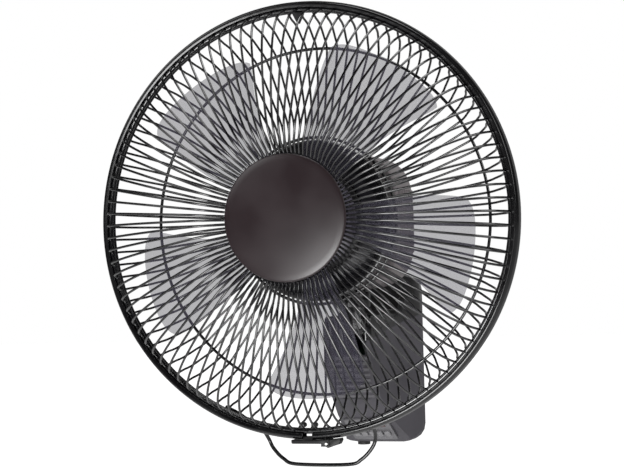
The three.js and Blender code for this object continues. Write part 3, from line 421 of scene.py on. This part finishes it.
# Paler than the housing grey: a painted highlight for the light on the rib tops.
VENT_HIGHLIGHT_GREY = finish("grey vent ribs with painted highlight", (0.13, 0.125, 0.137), 0.42, grain=1500.0, depth=0.02)
PANEL_GREY = finish("light grey panel", (0.15, 0.147, 0.156), 0.45, grain=1500.0, depth=0.03)
BUTTON_GREY = finish("light grey buttons", (0.24, 0.236, 0.246), 0.38, grain=1200.0,
                     depth=0.01, edges=0.2)
# The blade edges are lightened nearly to white by the edge mask: a painted highlight of the light
# the edges catch.
BLADE_SMOKE = finish("smoke grey clear plastic", (0.1, 0.094, 0.126), 0.34, variation=0.02,
                     grain=60.0, depth=0.002, edges=0.9, edge_color=(0.85, 0.85, 0.9),
                     dust=0.0, Alpha=0.36, IOR=1.2)
HUB_SMOKE = finish("smoke grey thick plastic", (0.17, 0.16, 0.2), 0.2, variation=0.05,
                   grain=300.0, depth=0.006, edges=0.15)
STEEL = finish("zinc plated steel", (0.58, 0.58, 0.57), 0.28, variation=0.15, grain=1800.0,
               depth=0.01, edges=0.2, Metallic=1.0)
CORE_STEEL = finish("laminated steel", (0.25, 0.25, 0.26), 0.4, grain=2500.0, Metallic=1.0)
COPPER = finish("enamelled copper", (0.55, 0.24, 0.12), 0.3, grain=2200.0, Metallic=1.0)
# A dark green board, darkened further as painted shade for the closed inside of the body.
BOARD_GREEN = finish("green circuit board", (0.008, 0.045, 0.02), 0.35, grain=1500.0)
RED_WINDOW = finish("dark red window", (0.06, 0.008, 0.012), 0.1, depth=0.003, edges=0.0,
                    Coat_Weight=0.5)
RUBBER = finish("black rubber", (0.022, 0.022, 0.022), 0.65, grain=800.0, depth=0.05)
print(len(bpy.data.materials), "finishes")

# %% [markdown]
# ## Four rules made with Geometry Nodes
#
# The guards are pure repetition: one bent wire, a hundred times round the axis, with a few
# round rings. So are the blades, the ribs of the hub, the cooling fins and the rows of
# louvres. Each rule is a small Geometry Nodes tree with named inputs. A tree ends by
# realizing its instances and setting the material, and its result is kept as a plain mesh.

# %% The trees


def tree_end(tree, geometry, entry, out):
    """Realizes the result, moves it to its centre and sets the material."""
    real = add(tree, "GeometryNodeRealizeInstances", {"Geometry": geometry})
    moved = add(tree, "GeometryNodeTransform", {
        "Geometry": real.outputs[0], "Translation": entry.outputs["Centre"]})
    painted = add(tree, "GeometryNodeSetMaterial", {
        "Geometry": moved.outputs[0], "Material": entry.outputs["Material"]})
    tree.links.new(painted.outputs[0], out.inputs["Geometry"])


def round_the_axis(tree, geometry, count):
    """Instances of the geometry, turned evenly about Y."""
    points = add(tree, "GeometryNodePoints", {"Count": count})
    index = tree.nodes.new("GeometryNodeInputIndex")
    part = add(tree, "ShaderNodeMath", {0: index.outputs[0], 1: count}, operation="DIVIDE")
    turn = add(tree, "ShaderNodeMath", {0: part.outputs[0], 1: 2 * math.pi},
               operation="MULTIPLY")
    euler = add(tree, "ShaderNodeCombineXYZ", {"Y": turn.outputs[0]})
    rotation = add(tree, "FunctionNodeEulerToRotation", {"Euler": euler.outputs[0]})
    return add(tree, "GeometryNodeInstanceOnPoints", {
        "Points": points.outputs[0], "Instance": geometry,
        "Rotation": rotation.outputs[0]}).outputs[0]


def wire_tree():
    """One wire along the given line, repeated round the axis."""
    tree, entry, out = group_of(
        "wires round the axis", "GeometryNodeTree",
        [("Geometry", "Geometry", None), ("Count", "Int", 1), ("Wire", "Float", 0.0024),
         ("Sides", "Int", 8), ("Centre", "Vector", None), ("Material", "Material", None)],
        [("Geometry", "Geometry")],
    )
    half = add(tree, "ShaderNodeMath", {0: entry.outputs["Wire"], 1: 0.5}, operation="MULTIPLY")
    line = add(tree, "GeometryNodeMeshToCurve", {"Mesh": entry.outputs["Geometry"]})
    circle = add(tree, "GeometryNodeCurvePrimitiveCircle", {
        "Resolution": entry.outputs["Sides"], "Radius": half.outputs[0]})
    wire = add(tree, "GeometryNodeCurveToMesh", {
        "Curve": line.outputs[0], "Profile Curve": circle.outputs[0], "Fill Caps": True})
    many = round_the_axis(tree, wire.outputs[0], entry.outputs["Count"])
    tree_end(tree, many, entry, out)
    return tree


def ring_tree():
    """A ring of round wire about the axis."""
    tree, entry, out = group_of(
        "ring about the axis", "GeometryNodeTree",
        [("Geometry", "Geometry", None), ("Radius", "Float", 0.1), ("Depth", "Float", 0.0),
         ("Wire", "Float", 0.003), ("Sides", "Int", 12), ("Steps", "Int", 180),
         ("Centre", "Vector", None), ("Material", "Material", None)],
        [("Geometry", "Geometry")],
    )
    half = add(tree, "ShaderNodeMath", {0: entry.outputs["Wire"], 1: 0.5}, operation="MULTIPLY")
    path = add(tree, "GeometryNodeCurvePrimitiveCircle", {
        "Resolution": entry.outputs["Steps"], "Radius": entry.outputs["Radius"]})
    depth = add(tree, "ShaderNodeCombineXYZ", {"Y": entry.outputs["Depth"]})
    stood = add(tree, "GeometryNodeTransform", {
        "Geometry": path.outputs[0], "Rotation": (math.pi / 2, 0.0, 0.0),
        "Translation": depth.outputs[0]})
    circle = add(tree, "GeometryNodeCurvePrimitiveCircle", {
        "Resolution": entry.outputs["Sides"], "Radius": half.outputs[0]})
    wire = add(tree, "GeometryNodeCurveToMesh", {
        "Curve": stood.outputs[0], "Profile Curve": circle.outputs[0]})
    tree_end(tree, wire.outputs[0], entry, out)
    return tree


def repeat_tree():
    """The given piece, repeated round the axis."""
    tree, entry, out = group_of(
        "pieces round the axis", "GeometryNodeTree",
        [("Geometry", "Geometry", None), ("Count", "Int", 5), ("Centre", "Vector", None),
         ("Material", "Material", None)],
        [("Geometry", "Geometry")],
    )
    many = round_the_axis(tree, entry.outputs["Geometry"], entry.outputs["Count"])
    tree_end(tree, many, entry, out)
    return tree


def bar_tree():
    """A small block at every point of the base mesh."""
    tree, entry, out = group_of(
        "blocks at points", "GeometryNodeTree",
        [("Geometry", "Geometry", None), ("Size", "Vector", None), ("Centre", "Vector", None),
         ("Material", "Material", None)],
        [("Geometry", "Geometry")],
    )
    block = add(tree, "GeometryNodeMeshCube", {"Size": entry.outputs["Size"]})
    many = add(tree, "GeometryNodeInstanceOnPoints", {
        "Points": entry.outputs["Geometry"], "Instance": block.outputs["Mesh"]})
    tree_end(tree, many.outputs[0], entry, out)
    return tree


WIRES = wire_tree()
RING = ring_tree()
REPEAT = repeat_tree()
BARS = bar_tree()


def grown(name, tree, base=None, **values):
    """What a tree makes from a base mesh and its named inputs, as a plain object."""
    obj = from_mesh(name, base or bpy.data.meshes.new(name))
    rule = obj.modifiers.new("rule", "NODES")
    rule.node_group = tree
    values.setdefault("Centre", HEAD)
    for item in tree.interface.items_tree:
        if item.in_out == "INPUT" and item.name in values:
            rule[item.identifier] = values[item.name]
    settled(obj)
    shaded(obj.data)
    return obj


def line_mesh(name, points):
    """A chain of edges through points in the head's frame, left about the axis."""
    mesh = bpy.data.meshes.new(name)
    corners = [tuple(c * MM for c in p) for p in points]
    mesh.from_pydata(corners, [(i, i + 1) for i in range(len(corners) - 1)], [])
    return mesh


# %% [markdown]
# ## The guards
#
# The front guard is a shallow dome of a hundred wires, each bent once by a former and welded
# to a thick rim wire outside and a flat ring behind the badge. Near the rim they turn back
# steeply. The rear guard is a deeper basket with a strong ring at its corner. The lines below
# are the bend of one wire, as radius and depth.

# %% Front and rear guard
WIRE_POINTS = 26
RING_STEPS = 220
WIRE_SHARP = math.radians(50)
FRONT_WIRE = [(47, -40), (54.5, -40.4), (59.5, -45.5), (67, -49.8), (83, -52.2), (112, -47),
              (139, -38), (156.5, -29), (168, -18), (173.5, -6.5), (RIM_RADIUS, 4.0)]
REAR_WIRE = [(68, 34.6), (74, 40), (80, 47), (93, 53.5), (117, 55.2),
             (MIDDLE_RING_RADIUS, 54), (157, 47), (168, 32), (171.5, 20.5), (176.2, 10.5)]


def wires(name, bend):
    """A hundred wires with this bend."""
    line = [(r, y, 0.0) for r, y in smooth_line(bend, WIRE_POINTS)]
    return grown(name, WIRES, line_mesh(name, line), Count=WIRE_COUNT, Wire=WIRE * MM,
                 Sides=8, Material=ENAMEL)


def ring(name, radius, depth, size):
    """A ring of round wire at this radius and depth."""
    return grown(name, RING, Radius=radius * MM, Depth=depth * MM, Wire=size * MM, Sides=14,
                 Steps=RING_STEPS, Material=ENAMEL)


front_plate = turned("front_plate", rounded(
    [(45, -41.2), (51, -41.2), (51, -38.8), (45, -38.8)], 0.6), 96)
front_guard = joined("front_guard_wires", [
    wires("front_wires", FRONT_WIRE), ring("front_rim", RIM_RADIUS, FRONT_RIM_Y, RIM_WIRE),
    front_plate])
shaded(front_guard.data, WIRE_SHARP)
hand_over(front_guard, "head", ENAMEL, "black_gloss", "front_guard")

rear_plate = turned("rear_plate", rounded(
    [(30.4, 33.7), (62, 33.7), (63, 32.6), (68, 32.6), (69, 34.4), (68.4, 36.3), (30.4, 36.3)],
    1.0), 128)
rear_guard = joined("rear_guard_wires", [
    wires("rear_wires", REAR_WIRE), ring("rear_rim", RIM_RADIUS, REAR_RIM_Y, RIM_WIRE),
    ring("middle_ring", MIDDLE_RING_RADIUS, 51.9, RING_WIRE),
    ring("inner_ring", INNER_RING_RADIUS, 38.6, RING_WIRE), rear_plate])
shaded(rear_guard.data, WIRE_SHARP)
hand_over(rear_guard, "head", ENAMEL, "black_gloss", "rear_guard")

# %% [markdown]
# ## The band and what holds it shut
#
# A thin channel of lacquered plastic wraps both rim wires. Its outer wall is slightly
# crowned, and a narrow lip shows as a fine line round the front. Below, it is open by a few
# millimetres, where the clasp bridges it.

# %% Band
BAND_BACK = 13.5
BAND_GAP = math.radians(2.8)
band_section = rounded(
    [(177.7, 0.7), (180.2, 0.0), (181.6, 0.2), (183.2, 3.4), (184.0, 8.2), (183.2, BAND_BACK),
     (177.7, BAND_BACK), (177.7, BAND_BACK - 1.3), (181.8, BAND_BACK - 1.5), (182.6, 8.2),
     (181.6, 4.0), (180.2, 2.1), (177.7, 2.1)], 0.55, steps=3)
band = turned("band", band_section, 240, gap=BAND_GAP)
hand_over(band, "head", BAND_GLOSS, "black_gloss", "guard_band")

# %% Clasp, hook, clips
for node, width in (("clasp_body", 0.35), ("top_hook", 0.5), ("guard_clip_left", 0.5),
                    ("guard_clip_right", 0.5)):
    hand_over(softened(node, width), "head", BLACK_SATIN, "black_satin", node)
hand_over(softened("clasp_lever", 0.5), "lever", BLACK_SATIN, "black_satin", "clasp_lever")

# %% [markdown]
# ## The handle
#
# The handle is one piece of bent wire. Its loop hangs below the band for aiming the head, and
# its two ends rise inside the ring and lie against the rear rim wire. The same wire tree
# draws it, once, along its own path.

# %% Handle
half = [(77, 13.8, -156.9), (66, 14.2, -162.3), (57, 18.5, -169.5), (50.5, 28, -176),
        (48, 39, -186), (44, 40, -194.5), (35, 40, -203.5), (23, 40, -208)]
path = [(-x, y, z) for x, y, z in half] + half[::-1]
handle = grown("handle_wire", WIRES, line_mesh("handle_line", smooth_line(path, 120)),
               Count=1, Wire=HANDLE_WIRE * MM, Sides=14, Material=BAND_GLOSS)
shaded(handle.data, WIRE_SHARP)
hand_over(handle, "head", BAND_GLOSS, "black_gloss", "handle")

# %% [markdown]
# ## The badge
#
# A shallow pressed dome covers the ring where the front wires end. It is painted a satin dark
# brown, nearly black, and its edge is turned back, so the edge shows as a thin bright line
# towards the light. The finish also lightens the edge all round, partly as worn paint and
# partly as a painted highlight of that line.

# %% Badge
DOME_RADIUS = 51.2
DOME_EDGE_Y = -43.2
DOME_RISE = 3.2
BADGE_WALL = 1.3
dome = [(r, DOME_EDGE_Y - DOME_RISE * (1 - (r / DOME_RADIUS) ** 2))
        for r in np.linspace(0, DOME_RADIUS - 0.6, 12)]
turned_back = [(51.6, -42.95), (52.2, -42.4), (52.4, -41.9), (51.9, -41.95)]
inner_side = [(r, y + BADGE_WALL) for r, y in dome[::-1] if r < DOME_RADIUS - BADGE_WALL]
badge_section = dome + turned_back + inner_side + [(0.0, DOME_EDGE_Y - DOME_RISE + BADGE_WALL)]
badge = turned("badge_dome", badge_section, 144, closed=False)
hand_over(badge, "head", BROWN_SATIN, "brown_satin", "badge")
hand_over(softened("badge_plate", 0.4, angle=math.radians(50)), "head", BLACK_SATIN,
          "black_satin", "badge_plate")

# %% [markdown]
# ## The blades
#
# The rotor is one moulding of smoky see-through plastic. A blade is a thin sheet written as a
# rule over radius (u) and circumference (v): it leans from its leading edge at the front to
# its trailing edge at the back, widens towards the tip and has rounded corners. One blade is
# made from the rule, given its thickness, and then repeated five times.

# %% Blade
BLADE_PHASE = 129  # degrees from +X to the middle of one blade's tip
BLADE_SWEEP = 11
BLADE_ROOT = 40.0
BLADE_HALF_ANGLE = 20.0
BLADE_HALF_DEPTH = 16.5
BLADE_MIDDLE_Y = 3.5


def blade_point(u, v):
    """A point of the sheet's middle, u from root to tip and v from -1 to 1."""
    corner = 1 - 0.05 * u**16
    radius = BLADE_ROOT + (BLADE_RADIUS - BLADE_ROOT) * u * (1 - 0.045 * u * abs(v) ** 8)
    spread = BLADE_HALF_ANGLE * (0.84 + 0.16 * u) * corner
    angle = math.radians(BLADE_PHASE + BLADE_SWEEP * (1 - u) - v * spread)
    reach = BLADE_HALF_DEPTH * (0.86 + 0.14 * u)
    y = BLADE_MIDDLE_Y + reach * (v - 0.12 * (1 - v * v))
    return Vector((radius * math.cos(angle), y, radius * math.sin(angle))) * MM


def blade_mesh():
    """One blade: the sheet, with its thickness and soft edges."""
    across, along = 26, 30
    u_at = [1 - (1 - i / across) ** 1.4 for i in range(across + 1)]
    v_at = [math.sin(math.pi / 2 * (2 * j / along - 1)) for j in range(along + 1)]
    mesh = bpy.data.meshes.new("blade")
    corners = [blade_point(u, v) for u in u_at for v in v_at]
    row = along + 1
    faces = [(i * row + j, i * row + j + 1, (i + 1) * row + j + 1, (i + 1) * row + j)
             for i in range(across) for j in range(along)]
    mesh.from_pydata(corners, [], faces)
    sheet = from_mesh("blade_sheet", mesh)
    wall = sheet.modifiers.new("thickness", "SOLIDIFY")
    wall.thickness = BLADE_THICKNESS * MM
    wall.offset = 0.0
    soft = sheet.modifiers.new("soft edges", "BEVEL")
    soft.width = 0.6 * MM
    soft.segments = 2
    soft.limit_method = "ANGLE"
    soft.angle_limit = math.radians(50)
    settled(sheet)
    made = sheet.data
    bpy.data.objects.remove(sheet)
    return made


blades = grown("blades", REPEAT, blade_mesh(), Count=BLADE_COUNT, Material=BLADE_SMOKE)
shaded(blades.data, math.radians(45))
hand_over(blades, "rotor", BLADE_SMOKE, "blade_grey", "fan_blade")

# %% [markdown]
# ## Hub and nut
#
# The hub is a thicker cup of the same smoky plastic, with fine ribs on its face, turned from
# one section. A black nut with grips round its edge holds it on the shaft. Both are seen
# only through the wires and round the badge.

# %% Hub and nut
hub_section = rounded(
    [(4.4, -22), (12, -22), (13, -20.6), (32, -20.6), (34, -22), (39.5, -19.5), (42, -12),
     (42, 22), (39.6, 22), (39.6, -11), (37.5, -17.5), (33, -19), (12, -19), (12, 16),
     (4.4, 16)], 1.2)
hub = turned("hub", hub_section, 128)
hand_over(hub, "rotor", HUB_SMOKE, "blade_grey")


def bar(name, low, high, soften=0.3):
    """A block with soft edges in the head's frame, left about the axis."""
    bm = bmesh.new()
    bmesh.ops.create_cube(bm, size=1.0)
    size = Vector(high) - Vector(low)
    middle = (Vector(high) + Vector(low)) / 2
    for vert in bm.verts:
        vert.co = Vector([vert.co[k] * size[k] + middle[k] for k in range(3)]) * MM
    bmesh.ops.bevel(bm, geom=bm.edges, offset=soften * MM, segments=2, affect="EDGES",
                    profile=0.5)
    mesh = bpy.data.meshes.new(name)
    bm.to_mesh(mesh)
    bm.free()
    return mesh


HUB_RIB_COUNT = 20
GRIP_COUNT = 16
ribs = grown("hub_ribs", REPEAT, bar("hub_rib", (16, -20.9, -0.7), (31, -19.8, 0.7)),
             Count=HUB_RIB_COUNT, Material=HUB_SMOKE)
hand_over(ribs, "rotor", HUB_SMOKE, "blade_grey")
nut = turned("nut", rounded([(0, -30.3), (8.6, -29.6), (11.4, -25), (11.4, -22.4), (0, -22.4)],
                            0.8, closed=False), 64, closed=False)
grips = grown("nut_grips", REPEAT, bar("nut_grip", (10.2, -28, -0.7), (12, -22.6, 0.7)),
              Count=GRIP_COUNT, Material=BLACK_SATIN)
hand_over(joined("spinner", [nut, grips]), "rotor", BLACK_SATIN, "black_satin", "spinner_nut")

# %% [markdown]
# ## The motor
#
# The motor sits behind the rear guard in two shells. The front one is black, with a broad
# rounded shoulder and short cooling fins that show through the guard. The rear one is painted
# a brown grey. Its section is turned like the front one, but its rings are pushed out towards
# the corners, so the round joint runs into a rounded square. The neck goes up into a hole in
# its underside, and one screw holds it.

# %% Motor shells
front_shell = turned("motor_front", rounded(
    [(4.8, 28.7), (28, 28.7), (30, 30.7), (30, 36.6), (53, 36.6), (57, 40.6), (57, 83.8),
     (54.8, 83.8), (54.8, 42), (51, 39), (4.8, 39)], 2.2), 144)
hand_over(front_shell, "head", BLACK_GLOSS, "black_gloss", "motor_front_shell")
FIN_COUNT = 12
fins = grown("motor_fins", REPEAT, bar("fin", (34, 36.0, -1.1), (50, 37.6, 1.1), 0.5),
             Count=FIN_COUNT, Material=BLACK_GLOSS)
hand_over(fins, "head", BLACK_GLOSS, "black_gloss")
cover_section = rounded(
    [(54.8, 84.2, 0), (59, 84.2, 1), (60, 86.2, 1), (60, 140, 1), (56.5, 154, 0.95),
     (49, 163, 0.85), (40, 168, 0.7), (4, 173.6, 0), (4, 170, 0), (38, 165, 0.7),
     (54, 152, 0.95), (57.8, 139, 1), (57.8, 88.4, 1), (54.8, 86.4, 0)], 4.0)
rear_shell = turned("motor_rear", cover_section, 160, power=3.5)
NECK_ROOM_RADIUS = 18
NECK_ROOM_HEIGHT = 48
AXIS_GAP = 0.01  # keeps the turned section just off its axis
room = turned("neck_room", [(AXIS_GAP, 0), (NECK_ROOM_RADIUS, 0),
                            (NECK_ROOM_RADIUS, NECK_ROOM_HEIGHT), (AXIS_GAP, NECK_ROOM_HEIGHT)],
              64)
room.data.transform(Matrix.Translation(-HEAD))
room.data.transform(Matrix.Rotation(math.radians(-90), 4, "X"))
room.data.transform(Matrix.Translation(on_wall(0, 140, -29)))
hollow = rear_shell.modifiers.new("room for the neck", "BOOLEAN")
hollow.operation = "DIFFERENCE"
hollow.object = room
settled(rear_shell)
bpy.data.objects.remove(room)
shaded(rear_shell.data)
hand_over(rear_shell, "head", MOTOR_BROWN, "brown_satin", "motor_rear_shell")
hand_over(softened("guard_nut", 0.8), "head", BLACK_SATIN, "black_satin", "guard_nut")
hand_over(softened("cover_screw", 0.4), "head", STEEL, "steel", "cover_screw")

# %% [markdown]
# ## Neck, gear case and tilt joint
#
# These carry the head. The neck is a gloss black moulding that tilts in the notch of the top
# cover. The solids already have their true form, so they only get soft edges.

# %% Neck and gear case
for node, body, width, look, slot in (
    ("neck_arm", "neck", 0.8, BLACK_GLOSS, "black_gloss"),
    ("gear_case", "head", 1.0, BLACK_SATIN, "black_satin"),
    ("tilt_bracket", "wall_unit", 0.4, STEEL, "steel"),
    ("crank", "crank", 0.3, STEEL, "steel"),
    ("link_arm", "link", 0.3, STEEL, "steel"),
):
    hand_over(softened(node, width), body, look, slot, node)

# %% [markdown]
# ## The body on the wall
#
# The body is a dark grey housing with the fine grain of an etched mould, closed by a gloss
# black cover, with a narrow seam between them. A sloping panel under the front holds the
# buttons. The wall bracket behind it is plated steel.

# %% Body
for node, width, look, slot in (
    ("housing", 0.6, HOUSING_GREY, "housing_grey"),
    ("top_cover", 0.8, BLACK_GLOSS, "black_gloss"),
    ("back_plate", 0.5, HOUSING_GREY, "housing_grey"),
    ("wall_bracket", 0.4, STEEL, "steel"),
    ("control_panel", 0.35, PANEL_GREY, "panel_grey"),
    ("led_window", 0.2, RED_WINDOW, "window"),
    ("receiver_window", 0.2, RED_WINDOW, "window"),
    ("cord_gland", 0.4, RUBBER, "black_satin"),
):
    hand_over(softened(node, width), "wall_unit", look, slot, node)
for number in range(1, 6):
    button = f"button_{number}"
    hand_over(softened(button, 0.5, segments=3), button, BUTTON_GREY, "panel_grey", button)

# %% [markdown]
# ## Louvres and ribs
#
# A row of ribs stands over the air slots in the front of the body. They are painted a paler
# grey than the housing, a painted highlight for the light their tops catch, so they show as thin
# level lines. Fine ribs roughen the foot of the panel, and the motor's rear shell has a row of
# cooling louvres on each side. All are blocks set at points by one tree, with their edges
# softened.

# %% Blocks at points


def bars(name, places, size, body, look, slot, soft=0.3):
    """A block of this size at each place, all as one piece with soft edges."""
    obj = grown(name, BARS, line_mesh(name, places), Material=look,
                Size=[c * MM for c in size])
    bevel = obj.modifiers.new("soft edges", "BEVEL")
    bevel.width = soft * MM
    bevel.segments = 2
    settled(obj)
    return hand_over(obj, body, look, slot)


# The body's front face over the slots, as (z, y) from the top down.
SLOT_FACE = [(-122, 122.0), (-129.3, 124.9), (-136.6, 129.1), (-143.9, 133.9),
             (-151.2, 138.8), (-158.5, 144.9)]
VENT_RIB_PITCH = 5.1
heights = np.arange(SLOT_FACE[0][0], SLOT_FACE[-1][0], -VENT_RIB_PITCH)
face_y = np.interp(-heights, [-z for z, y in SLOT_FACE], [y for z, y in SLOT_FACE])
bars("vent_ribs", [(0, y - 0.3, z + 0.3) for z, y in zip(heights, face_y)], (36, 2.8, 2.4),
     "wall_unit", VENT_HIGHLIGHT_GREY, "housing_grey", soft=0.4)
PANEL_RUN, PANEL_DROP = 51, 28
PANEL_SLOPE = math.atan2(-PANEL_DROP, PANEL_RUN)
PANEL_MIDDLE_Y, PANEL_MIDDLE_Z = 190.5, -190.0
PANEL_LIFT = 2.45  # from the panel's middle out to the ribs
PANEL_RIB_PITCH = 1.7
foot = [(0, PANEL_MIDDLE_Y + math.cos(PANEL_SLOPE) * t + PANEL_LIFT * math.sin(PANEL_SLOPE),
         PANEL_MIDDLE_Z + math.sin(PANEL_SLOPE) * t - PANEL_LIFT * math.cos(PANEL_SLOPE))
        for t in np.arange(13, 20, PANEL_RIB_PITCH)]
bars("panel_ribs", foot, (34, 0.8, 0.8), "wall_unit", PANEL_GREY, "panel_grey", soft=0.2)
MOTOR_SIDE = 59.9
LOUVRE_PITCH = 6
sides = [(way * MOTOR_SIDE, y, 0) for way in (-1, 1)
         for y in np.arange(94, 138, LOUVRE_PITCH)]
bars("motor_louvres", sides, (1.6, 2.2, 56), "head", MOTOR_BROWN, "brown_satin", soft=0.6)

# %% [markdown]
# ## What is hidden inside
#
# The shaft, bearings, coils, board and screws are inside or small, and their solids are
# right as they are. They only get a finish, chosen by what they are made of, and the board's
# green is darkened further as painted shade of the closed body.

# %% Finishes of the pieces inside
INSIDE = {
    STEEL: ["tilt_pin", "plate_screw_left", "plate_screw_right", "swing_pin", "drive_stud",
            "motor_end_plate", "front_bearing", "rear_bearing", "motor_shaft", "shaft_pin",
            "badge_screw", "clasp_pin"],
    COPPER: ["front_winding", "rear_winding"],
    CORE_STEEL: ["stator_core", "rotor_core", "transformer"],
    BOARD_GREEN: ["control_board"],
    BLACK_SATIN: ["capacitor"],
}
for look, hidden in INSIDE.items():
    for node in hidden:
        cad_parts[node].data.materials.clear()
        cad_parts[node].data.materials.append(look)
    print(look.name, "on", len(hidden), "pieces inside")

# %% [markdown]
# ## Studio
#
# The photograph has a white ground and a soft light on black things, so most of what shows
# is reflection. The world is white to the camera and through clear plastic, a plain grey as
# light, and dark to reflections from the front, so the blacks stay black. Four soft lamps
# draw the highlights: a high one at the left, a low one in front, one at the right and one
# on top.

# %% Lights, floor and world


def lamp(name, place, size, watts):
    """A round soft lamp that looks at the head."""
    light = bpy.data.lights.new(name, "AREA")
    light.shape = "DISK"
    light.size = size
    light.energy = watts
    obj = bpy.data.objects.new(name, light)
    bpy.context.scene.collection.objects.link(obj)
    obj.location = place
    obj.rotation_euler = (HEAD - Vector(place)).to_track_quat("-Z", "Y").to_euler()


lamp("key", (-1.3, -1.6, 1.2), 1.2, 9)
lamp("low", (0.04, -1.8, -0.5), 0.85, 19)
lamp("side", (1.9, -0.5, 1.0), 1.4, 13)
lamp("top", (0.2, -0.3, 1.8), 0.9, 12)

AMBIENT_LEVEL = 0.3
world = bpy.data.worlds.new("studio")
bpy.context.scene.world = world
world.use_nodes = True
sky_tree = world.node_tree
sky_tree.nodes.clear()
rays = sky_tree.nodes.new("ShaderNodeLightPath")
direction = sky_tree.nodes.new("ShaderNodeTexCoord")
axes = add(sky_tree, "ShaderNodeSeparateXYZ", {"Vector": direction.outputs["Generated"]})
sweep = add(sky_tree, "ShaderNodeMapRange", {
    "Value": axes.outputs["Y"], "From Min": 0.6, "From Max": 1.0, "To Min": 0.02,
    "To Max": 0.4})
plain_light = add(sky_tree, "ShaderNodeMix", {
    "Factor": rays.outputs["Is Glossy Ray"], "A": AMBIENT_LEVEL,
    "B": sweep.outputs["Result"]})
clear = add(sky_tree, "ShaderNodeMath", {
    0: rays.outputs["Is Camera Ray"], 1: rays.outputs["Is Transmission Ray"]},
    operation="MAXIMUM")
level = add(sky_tree, "ShaderNodeMix", {
    "Factor": clear.outputs[0], "A": plain_light.outputs["Result"], "B": 1.0})
sky = add(sky_tree, "ShaderNodeBackground", {
    "Color": (1, 1, 1, 1), "Strength": level.outputs["Result"]})
sky_end = sky_tree.nodes.new("ShaderNodeOutputWorld")
sky_tree.links.new(sky.outputs[0], sky_end.inputs["Surface"])

FLOOR_Z = -1.0
floor_mesh = bpy.data.meshes.new("floor")
REACH = 30.0
FLOOR_GLOW = 0.9
floor_mesh.from_pydata([(-REACH, -REACH, FLOOR_Z), (REACH, -REACH, FLOOR_Z),
                        (REACH, REACH, FLOOR_Z), (-REACH, REACH, FLOOR_Z)], [], [(0, 1, 2, 3)])
floor = from_mesh("floor", floor_mesh)
pale = bpy.data.materials.new("pale floor")
pale.use_nodes = True
paint = pale.node_tree
matt = paint.nodes["Principled BSDF"]
matt.inputs["Base Color"].default_value = (0.85, 0.85, 0.85, 1)
matt.inputs["Roughness"].default_value = 0.9
look_rays = paint.nodes.new("ShaderNodeLightPath")
glow = add(paint, "ShaderNodeEmission", {"Color": (1, 1, 1, 1), "Strength": FLOOR_GLOW})
both = add(paint, "ShaderNodeAddShader", {0: matt.outputs[0], 1: glow.outputs[0]})
shown = add(paint, "ShaderNodeMixShader", {
    0: look_rays.outputs["Is Camera Ray"], 1: matt.outputs[0], 2: both.outputs[0]})
paint.links.new(shown.outputs[0], paint.nodes["Material Output"].inputs["Surface"])
floor.data.materials.append(pale)

# %% [markdown]
# ## Camera
#
# The photograph was taken from the right of the fan and a little below its axis, from about
# 1.4 metres. The camera is placed by those angles and turned slightly, so that the head falls
# where it does in the picture. The focal length is in pixels of a picture 624 wide.

# %% Camera
YAW, RISE, ROLL = math.radians(18.62), math.radians(-2.3), math.radians(-1.5)
DISTANCE = 1.399
FOCAL_PIXELS = 1676.0
PICTURE_WIDTH = 624.0
OFF_X, OFF_Y = -10.434 / FOCAL_PIXELS, -14.908 / FOCAL_PIXELS  # the head off the middle
SENSOR_WIDTH = 36.0

back = Vector((math.sin(YAW) * math.cos(RISE), -math.cos(YAW) * math.cos(RISE),
               math.sin(RISE)))
right = (-back).cross(Vector((0, 0, 1))).normalized()
up = right.cross(-back)
ahead = (-back - OFF_X * right + OFF_Y * up).normalized()
right = ahead.cross(up).normalized()
up = right.cross(ahead)
turned_right = math.cos(ROLL) * right + math.sin(ROLL) * up
turned_up = -math.sin(ROLL) * right + math.cos(ROLL) * up

lens = bpy.data.cameras.new("camera")
lens.sensor_width = SENSOR_WIDTH
lens.lens = SENSOR_WIDTH * FOCAL_PIXELS / PICTURE_WIDTH
camera = bpy.data.objects.new("camera", lens)
bpy.context.scene.collection.objects.link(camera)
facing = Matrix((turned_right, turned_up, -ahead)).transposed().to_4x4()
camera.matrix_world = Matrix.Translation(HEAD + back * DISTANCE) @ facing
bpy.context.scene.camera = camera
print("camera at", [round(c, 3) for c in camera.matrix_world.translation])
bpy.context.scene.view_settings.view_transform = "Standard"
